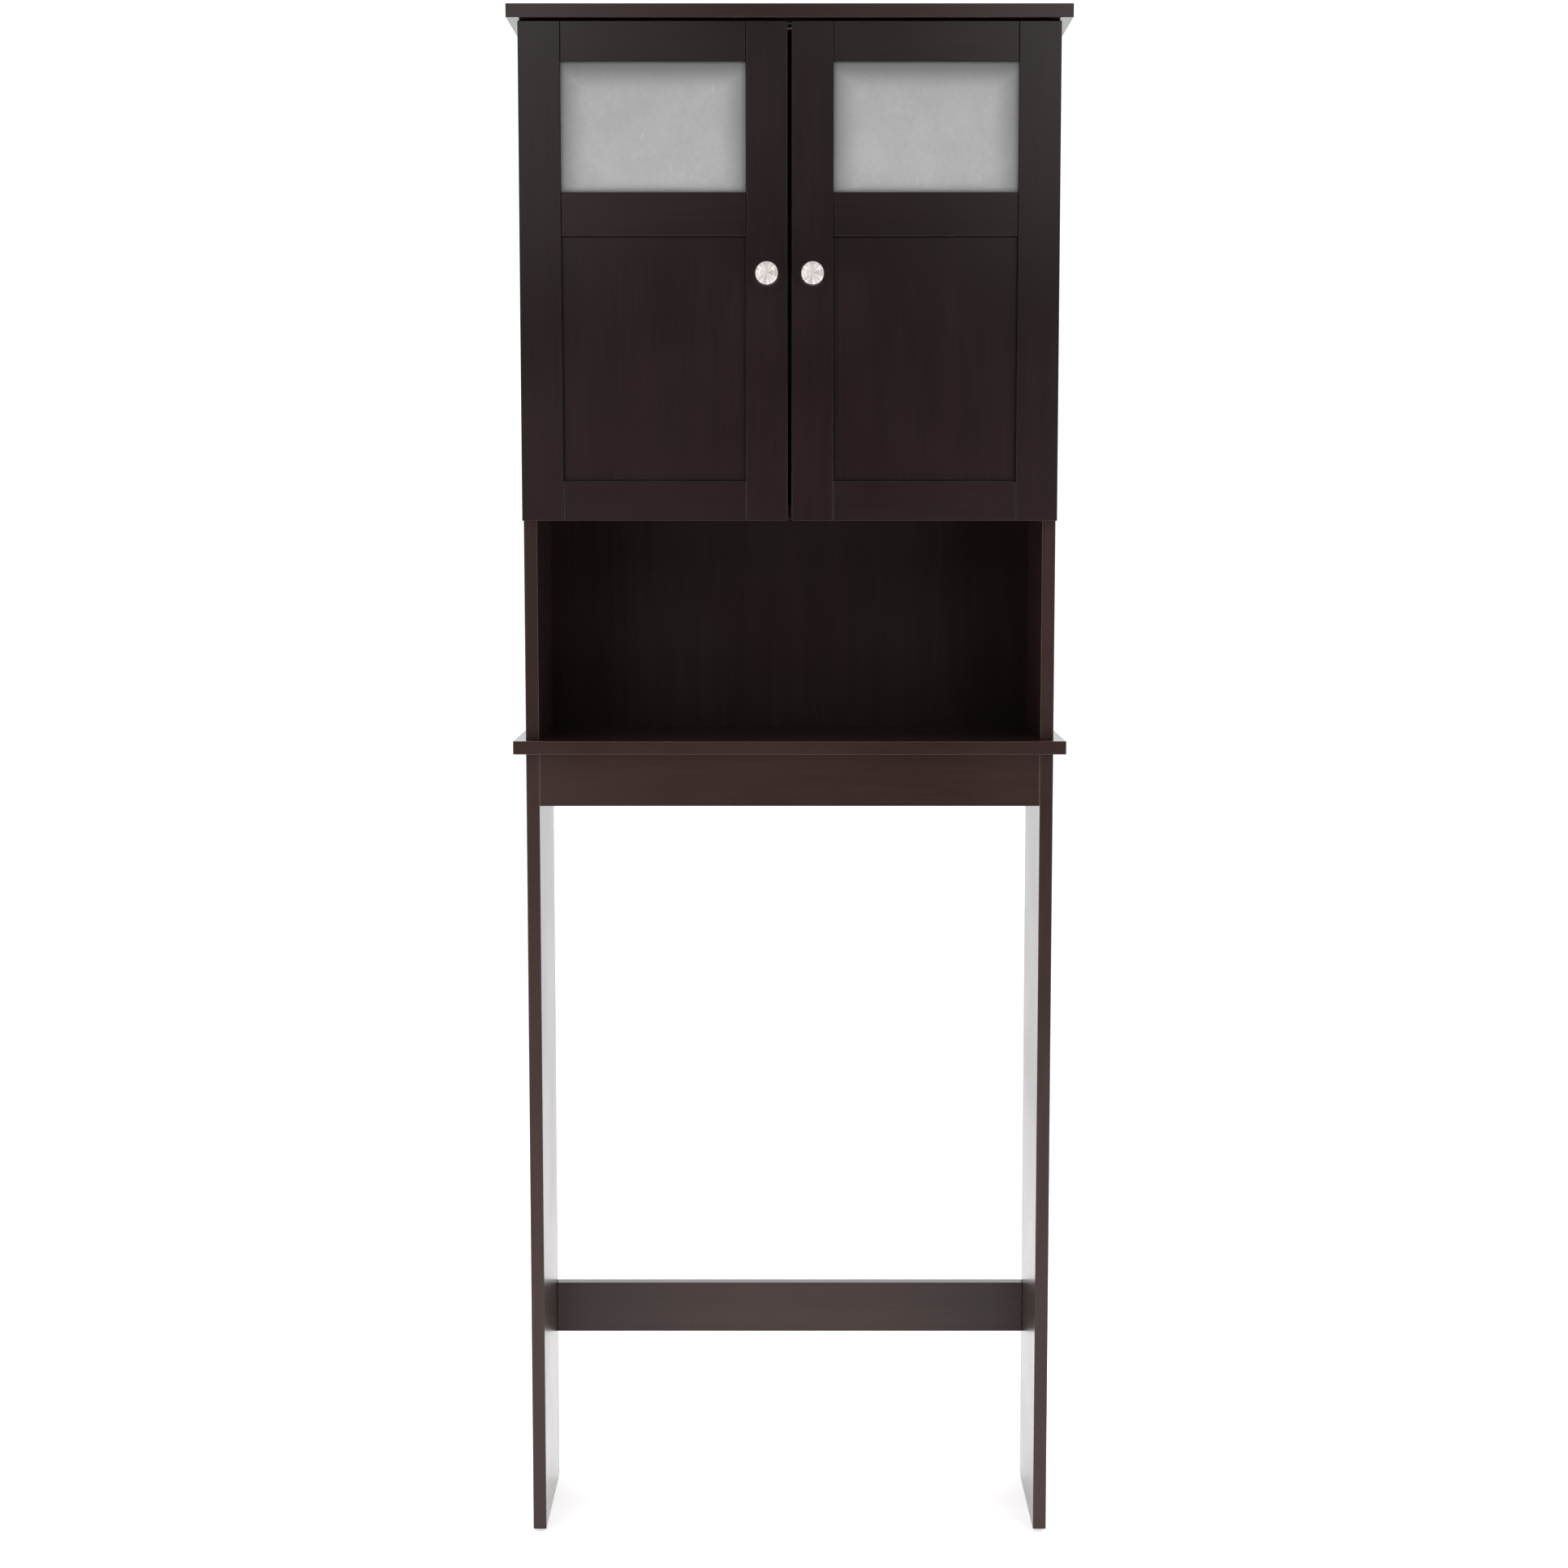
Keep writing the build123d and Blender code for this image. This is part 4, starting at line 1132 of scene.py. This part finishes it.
@dataclass
class ConcealedHinge(DoorPart):
    """Cup, flange and bent arm of one concealed hinge, modelled about its pivot."""

    level: str
    cup_radius: float = 13.0 * MM
    cup_wall: float = 0.6 * MM
    cup_round: float = 1.4 * MM
    cup_sides: int = 64
    flange_thick: float = 0.8 * MM
    flange_radius: float = 14.0 * MM
    flange_step: float = 0.02 * MM
    flange_ease: Pair = (0.2 * MM, 0.25 * MM)  # height and width of its rounded arris
    mouth_ease: Pair = (0.3 * MM, 0.5 * MM)
    wing_half: Triple = (6.0 * MM, 0.4 * MM, 21.0 * MM)
    wing_overlap: float = 2.5 * MM
    wing_round: float = 4.5 * MM
    wing_screw: float = 17.5 * MM
    screw_hole: float = 1.55 * MM
    screw_hole_depth: float = 2.0 * MM
    pivot_in: float = 9.5 * MM
    arm_thick: float = 2.0 * MM
    arm_near: float = 10.5 * MM
    arm_narrow: float = 7.0 * MM
    arm_wide: float = 14.0 * MM
    arm_reach: float = 48.0 * MM
    arm_widens: float = 11.0 * MM
    arm_corner: float = 3.0 * MM
    arm_screw: float = 28.0 * MM
    arm_screw_hole: float = 2.05 * MM
    arm_hole_depth: float = 6.0 * MM
    arm_overlap: float = 2.0 * MM
    bend_round: float = 1.4 * MM
    eye_radius: float = 2.2 * MM
    eye_wall: float = 0.9 * MM
    eye_overlap: float = 0.5 * MM
    emboss: float = 0.35 * MM
    emboss_border: float = 1.6 * MM
    emboss_slope: float = 0.8 * MM

    @property
    def inward(self) -> float:
        """Sign of X from the hinge towards the middle of the rack."""
        return -float(self.side.value)

    @property
    def arm_far(self) -> float:
        """Distance in X from the pivot to the arm's far face."""
        return self.arm_near + self.arm_thick

    def make(self) -> None:
        """Makes the cup and the arm."""
        self.make_cup()
        self.make_arm()

    def cup_rings(self, depth: float) -> list[Pair]:
        """Profile of the cup, up its outside, over the flange and down its inside.

        Args:
            depth: Depth of the cup without its flange.

        Returns:
            Height and radius of each ring.
        """
        outside, curve = self.cup_radius, self.cup_round
        inside = outside - self.cup_wall
        rim = depth + self.flange_thick
        return [
            (curve * 0.45, outside - curve * 0.4),
            (curve, outside),
            (depth, outside),
            (depth + self.flange_step, self.flange_radius),
            (rim - self.flange_ease[0], self.flange_radius),
            (rim, self.flange_radius - self.flange_ease[1]),
            (rim, inside + self.mouth_ease[1]),
            (rim - self.mouth_ease[0], inside),
            (curve, inside),
            (self.cup_wall * 1.4, inside - curve * 0.5),
            (self.cup_wall, inside - curve),
            (self.cup_wall, inside * 0.5),
        ]

    def make_cup(self) -> None:
        """Draws the cup and its flange from a disc, adds the screw wings and fits it to the door."""
        node = f"{self.door}_{self.level}_hinge_cup"
        region = region_of(node)
        floor = Vector((region.centre.x, region.low.y, region.centre.z))
        depth = region.size.y - self.flange_thick
        base = self.cup_radius - self.cup_round
        stub = self.cup_round / 4
        bench = Bench(f"{self.door}_{self.level}_pressed_cup")
        bench.disc(floor + REARWARD * stub / 2, base, stub, self.cup_sides)
        bench.pick_faces(facing(REARWARD))
        bench.turn_profile(floor, REARWARD, base, self.cup_rings(depth))
        bench.leave()
        for way in (-1, 1):
            middle = floor + REARWARD * (depth + self.flange_thick / 2)
            bench.combine(self._wing(middle, way), "UNION")
        fit_piece(bench.done(30.0), self.door, "hinge_steel", region, node)

    def _wing(self, middle: Vector, way: int) -> Bench:
        """Makes one screw wing.

        Args:
            middle: Middle of the flange.
            way: 1 for the wing above the cup, -1 for the one below.

        Returns:
            The wing on its own bench.
        """
        half_x, half_y, tip = self.wing_half
        half_y -= self.flange_step
        near, far = sorted(((self.flange_radius - self.wing_overlap) * way, tip * way))
        wing = Bench("wing")
        wing.block(middle + Vector((-half_x, -half_y, near)), middle + Vector((half_x, half_y, far)))
        straight = running(REARWARD)
        reach = tip - 1.0 * MM
        wing.pick_edges(lambda place, along: straight(place, along) and abs(place.z - middle.z) > reach)
        wing.bevel(self.wing_round, 5)
        hole = middle + UPWARD * self.wing_screw * way
        wing.drill(hole, self.screw_hole, self.screw_hole_depth, "Y")
        return wing

    def make_arm(self) -> None:
        """Bends the arm from a block, embosses its tail, adds its neck and its eye and fits it."""
        name = f"{self.level}_{self.side.word}"
        node = name + "_hinge_arm"
        region = region_of(node)
        cup = region_of(f"{self.door}_{self.level}_hinge_cup")
        pivot = Vector(
            (
                cup.centre.x - self.inward * self.pivot_in,
                region.low.y + self.eye_radius,
                region.centre.z,
            )
        )
        half_wide = self.arm_wide / 2
        bench = Bench(name + "_pressed_arm")
        tail_start = self._at(pivot, self.arm_near, self.arm_widens, -half_wide)
        bench.block(*self._limits(tail_start, self._at(pivot, self.arm_far, self.arm_reach, half_wide)))
        bench.pick_edges(running(RIGHTWARD))
        bench.bevel(self.arm_corner, 4)
        bench.pick_faces(facing(RIGHTWARD * self.inward))
        bench.inset(self.emboss_border)
        bench.inset(self.emboss_slope, -self.emboss)
        bench.leave()
        bench.combine(self._neck(pivot), "UNION")
        hole = self._at(pivot, self.arm_near, self.arm_screw, 0.0)
        bench.drill(hole, self.arm_screw_hole, self.arm_hole_depth, "X")
        bench.combine(self._eye(pivot), "UNION")
        fit_piece(bench.done(30.0), "cabinet", "hinge_steel", region, node)

    def _at(self, pivot: Vector, along_x: float, along_y: float, along_z: float) -> Vector:
        """A point given from the pivot, with X towards the middle of the rack."""
        return pivot + Vector((self.inward * along_x, along_y, along_z))

    def _limits(self, first: Vector, second: Vector) -> tuple[Vector, Vector]:
        """Lowest and highest corner of the box between two points."""
        return Vector(map(min, first, second)), Vector(map(max, first, second))

    def _neck(self, pivot: Vector) -> Bench:
        """Makes the narrow neck and the reach into the cup as one bent strip.

        Args:
            pivot: Middle of the pin.

        Returns:
            The neck on its own bench.
        """
        half = self.arm_thick / 2
        narrow = self.arm_narrow / 2
        lap = self.arm_widens + self.arm_overlap
        neck = Bench("neck")
        first = self._at(pivot, self.arm_near, half, -narrow)
        neck.block(*self._limits(first, self._at(pivot, self.arm_far, lap, narrow)))
        neck.pick_faces(facing(-REARWARD))
        neck.extrude(-REARWARD * self.arm_thick)
        outwards = facing(RIGHTWARD * -self.inward)
        neck.pick_faces(lambda place, normal: outwards(place, normal) and abs(place.y - pivot.y) < half / 2)
        reach = self.arm_near - self.eye_radius + self.eye_overlap
        neck.extrude(RIGHTWARD * -self.inward * reach)
        outer = self._at(pivot, self.arm_far, -half, 0.0)
        upright = running(UPWARD)
        near = 0.1 * MM
        neck.pick_edges(lambda place, along: upright(place, along) and (place - outer).xy.length < near)
        neck.bevel(self.bend_round, 4)
        neck.leave()
        return neck

    def _eye(self, pivot: Vector) -> Bench:
        """Rolls the eye that turns on the pin.

        Args:
            pivot: Middle of the pin.

        Returns:
            The eye on its own bench.
        """
        eye = Bench("eye")
        eye.disc(pivot, self.eye_radius, self.arm_narrow, HOLE_SIDES, "Z", open_ends=True)
        eye.modify("SOLIDIFY", thickness=self.eye_wall, offset=-1.0)
        return eye


@dataclass
class LegGlides:
    """Four nail-on glides under the legs, each a round pad with a rolled rim and a nail."""

    pad_radius: float = 6.5 * MM
    pad_height: float = 3.0 * MM
    pad_sides: int = 40
    rim: float = 0.7 * MM
    top_ease: float = 0.3 * MM
    nail_radius: float = 1.0 * MM
    nail_top: float = 15.0 * MM
    nail_point: float = 1.0 * MM

    def make(self) -> None:
        """Makes a pad under each end of each leg, joins the four and fits them."""
        node = "leg_glides"
        region = region_of(node)
        pads = []
        for x in (region.low.x + self.pad_radius, region.high.x - self.pad_radius):
            for y in (region.low.y + self.pad_radius, region.high.y - self.pad_radius):
                pads.append(self._pad(Vector((x, y, 0.0)), len(pads)))
        bpy.ops.object.select_all(action="DESELECT")
        for pad in pads:
            pad.select_set(True)
        bpy.context.view_layer.objects.active = pads[0]
        bpy.ops.object.join()
        pads[0].name = "nailed_glides"
        pads[0].select_set(False)
        fit_piece(pads[0], "cabinet", "dark_plastic", region, node)

    def _pad(self, foot: Vector, number: int) -> bpy.types.Object:
        """Makes one glide.

        Args:
            foot: Middle of its underside.
            number: Its number, for its name.

        Returns:
            The glide.
        """
        base = self.pad_radius - self.rim
        stub = self.rim / 4
        bench = Bench(f"glide_{number}")
        bench.disc(foot + UPWARD * stub / 2, base, stub, self.pad_sides, "Z")
        bench.pick_faces(facing(UPWARD))
        rings = [
            (self.rim * 0.4, self.pad_radius - self.rim * 0.3),
            (self.rim, self.pad_radius),
            (self.pad_height - self.top_ease, self.pad_radius),
            (self.pad_height, self.pad_radius - self.top_ease),
            (self.pad_height, self.nail_radius),
            (self.nail_top - self.nail_point, self.nail_radius),
            (self.nail_top, self.nail_radius * 0.2),
        ]
        bench.turn_profile(foot, UPWARD, base, rings)
        return bench.done(40.0)


@dataclass
class CatchCase:
    """Moulded case of the double magnetic catch, with a pocket for the poles and grooves below."""

    corner: float = 1.6 * MM
    lower_round: float = 0.5 * MM
    pocket_half_x: float = 16.1 * MM
    pocket_depth: float = 12.1 * MM
    pocket_round: float = 0.6 * MM
    pole_clearance: float = 0.1 * MM
    screw_at: float = 20.5 * MM
    head_radius: float = 2.85 * MM
    head_depth: float = 1.25 * MM
    groove_places: tuple[float, ...] = (-12.0 * MM, -4.0 * MM, 4.0 * MM, 12.0 * MM)
    groove_half: float = 0.6 * MM
    groove_start: float = 14.0 * MM  # behind the front
    groove_depth: float = 0.8 * MM
    groove_round: float = 0.4 * MM
    overrun: float = 1.0 * MM  # of a cutter past a face

    def make(self) -> None:
        """Moulds the case and fits it."""
        node = "catch_housing"
        region = region_of(node)
        bench = Bench("catch_case")
        bench.block(region.low, region.high)
        bench.pick_edges(running(UPWARD))
        bench.bevel(self.corner, 4)
        low = region.low.z + 0.1 * MM
        bench.pick_edges(lambda place, along: place.z < low)
        bench.bevel(self.lower_round)
        bench.leave()
        bench.combine(self._pocket(region), "DIFFERENCE")
        for way in (-1, 1):
            seat = Vector((way * self.screw_at, region.centre.y, region.low.z))
            bench.drill(seat, self.head_radius, self.head_depth, "Z")
        for x in self.groove_places:
            bench.combine(self._groove(region, x), "DIFFERENCE")
        fit_piece(bench.done(30.0), "cabinet", "catch_plastic", region, node)

    def _pocket(self, region: Region) -> Bench:
        """Cutter for the pocket that holds the magnets and the pole plates.

        Args:
            region: Box of the case.

        Returns:
            The cutter on its own bench.
        """
        poles = region_of("catch_pole_plates")
        front = region.low.y
        low, high = poles.low.z - self.pole_clearance, poles.high.z + self.pole_clearance
        cutter = Bench("pocket")
        cutter.block(
            Vector((-self.pocket_half_x, front - self.overrun, low)),
            Vector((self.pocket_half_x, front + self.pocket_depth, high)),
        )
        cutter.pick_edges(running(REARWARD))
        cutter.bevel(self.pocket_round, 3)
        return cutter

    def _groove(self, region: Region, x: float) -> Bench:
        """Cutter for one groove in the underside.

        Args:
            region: Box of the case.
            x: Place of the groove's middle.

        Returns:
            The cutter on its own bench.
        """
        low, high = region.low, region.high
        cutter = Bench("groove")
        cutter.block(
            Vector((x - self.groove_half, low.y + self.groove_start, low.z - self.overrun)),
            Vector((x + self.groove_half, high.y + self.overrun, low.z + self.groove_depth)),
        )
        lengthwise = running(REARWARD)
        cutter.pick_edges(lambda place, along: lengthwise(place, along) and place.z > low.z)
        cutter.bevel(self.groove_round)
        return cutter


# Studio


@dataclass(frozen=True)
class LightPanel:
    """A soft panel of light. One of a pair is given for the right-hand side."""

    name: str
    place: Triple
    target: Triple
    size: Pair
    power: float  # watts
    spread: float = 180.0  # degrees that its light fans out over
    tint: Colour = (1.0, 0.95, 0.965)

    def hang(self, prefix: str = "", side: int = 1) -> None:
        """Hangs the panel.

        Args:
            prefix: Word that its name starts with.
            side: Sign of X on the side where it hangs.
        """
        mirror = Vector((side, 1.0, 1.0))
        place = Vector(self.place) * mirror
        lamp = bpy.data.lights.new(prefix + self.name, "AREA")
        lamp.shape = "RECTANGLE"
        lamp.size, lamp.size_y = self.size
        lamp.energy = self.power
        lamp.spread = math.radians(self.spread)
        lamp.color = self.tint
        holder = bpy.data.objects.new(lamp.name, lamp)
        bpy.context.scene.collection.objects.link(holder)
        holder.visible_camera = False
        holder.location = place
        aim = Vector(self.target) * mirror - place
        holder.rotation_euler = aim.to_track_quat("-Z", "Y").to_euler()
        log.info("%s: %.0f W", lamp.name, self.power)


@dataclass
class Studio:
    """Pale floor, white surroundings, soft panels of light and the camera."""

    camera_place: Triple = (0.0, -3.0653, 1.19)
    pitch: float = 5.74
    lens: float = 61.7
    sensor: float = 36.0
    shift: Pair = (-0.0036, -0.012)
    floor_half: float = 2.4
    floor_drop: float = 0.2 * MM
    floor_glow: float = 0.45
    floor_tint: Colour = (0.86, 0.86, 0.86)
    floor_shade: Colour = (0.80, 0.80, 0.80)
    floor_unevenness: float = 0.02
    floor_patches: float = 1.5
    floor_roughness: float = 0.9
    floor_specular: float = 0.1
    front_glow: float = 0.04
    back_glow: float = 1.2
    glow_span: Pair = (-0.25, 0.12)
    white: Colour = (1.0, 1.0, 1.0)
    paired: tuple[LightPanel, ...] = (
        LightPanel("panel", (1.35, -1.25, 0.42), (0.28, 0.0, 0.32), (1.2, 1.6), 9.0, 90.0),
        LightPanel("upper_panel", (1.0, -2.3, 2.35), (0.0, 0.0, 1.6), (1.4, 1.2), 12.0),
    )
    top: LightPanel = LightPanel("top_panel", (0.0, 0.2, 3.4), (0.0, 0.0, 0.8), (3.0, 2.4), 40.0)

    def make(self) -> None:
        """Sets up the floor, the surroundings, the lights and the camera."""
        self.make_floor()
        self.make_surroundings()
        for side in Side:
            for panel in self.paired:
                panel.hang(side.word + "_", side.value)
        self.top.hang()
        self.make_camera()
        view = bpy.context.scene.view_settings
        view.view_transform = "Standard"
        view.look = "None"

    def make_floor(self) -> None:
        """Lays a plain floor with a slight unevenness of tone."""
        bpy.ops.object.select_all(action="DESELECT")
        place = (0.0, 0.0, -self.floor_drop)
        bpy.ops.mesh.primitive_plane_add(size=2 * self.floor_half, location=place)
        floor = bpy.context.object
        floor.name = "floor"
        bpy.ops.object.transform_apply(location=True)
        paint = bpy.data.materials.new("floor_paint")
        paint.use_nodes = True
        graph = Graph(paint.node_tree)
        shader = paint.node_tree.nodes["Principled BSDF"]
        patches = graph.noise(graph.object_place(), self.floor_patches)
        tone = graph.band(patches, *CLOUD_SPAN, end=self.floor_unevenness)
        colour = graph.mix(tone, rgba(self.floor_tint), rgba(self.floor_shade))
        graph.plug(shader.inputs["Base Color"], colour)
        shader.inputs["Roughness"].default_value = self.floor_roughness
        shader.inputs["Specular IOR Level"].default_value = self.floor_specular
        shader.inputs["Emission Color"].default_value = rgba(self.white)
        shader.inputs["Emission Strength"].default_value = self.floor_glow
        floor.data.materials.append(paint)
        log.info("floor laid")

    def make_surroundings(self) -> None:
        """White to the eye all round. For light, a white wall behind the rack and a dim room in front."""
        world = bpy.data.worlds.new("studio_surroundings")
        bpy.context.scene.world = world
        world.use_nodes = True
        world.node_tree.nodes.clear()
        graph = Graph(world.node_tree)
        _, depth, _ = graph.split(graph.add("TexCoord").outputs["Generated"])
        glow = graph.band(depth, *self.glow_span, self.front_glow, self.back_glow)
        seen = graph.add("LightPath").outputs["Is Camera Ray"]
        strength = graph.number("MAXIMUM", glow, seen)
        backdrop = graph.add("Background")
        backdrop.inputs["Color"].default_value = rgba(self.white)
        graph.plug(backdrop.inputs["Strength"], strength)
        output = graph.add("OutputWorld")
        graph.plug(output.inputs["Surface"], backdrop.outputs["Background"])
        log.info("surroundings set")

    def make_camera(self) -> None:
        """Stands the camera in front of the rack, a little above its middle."""
        data = bpy.data.cameras.new("camera")
        data.lens = self.lens
        data.sensor_width = self.sensor
        data.shift_x, data.shift_y = self.shift
        camera = bpy.data.objects.new("camera", data)
        bpy.context.scene.collection.objects.link(camera)
        camera.location = self.camera_place
        camera.rotation_euler = (math.radians(90.0 - self.pitch), 0.0, 0.0)
        bpy.context.scene.camera = camera


def clear_defaults() -> None:
    """Removes whatever the new file held besides the frame."""
    for name in ("Cube", "Camera", "Light"):
        leftover = bpy.data.objects.get(name)
        if leftover:
            bpy.data.objects.remove(leftover, do_unlink=True)


def main() -> None:
    """Builds the studio and each sub-assembly."""
    logging.basicConfig(level=logging.INFO, format="%(name)s: %(message)s")
    clear_defaults()
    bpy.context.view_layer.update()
    Studio().make()
    Carcass().dress()
    for side in Side:
        Knob(side).make()
        FrostedPane(side).make()
        StopBumper(side).make()
        for level in ("upper", "lower"):
            ConcealedHinge(side, level).make()
    LegGlides().make()
    CatchCase().make()


if __name__ == "__main__":
    main()
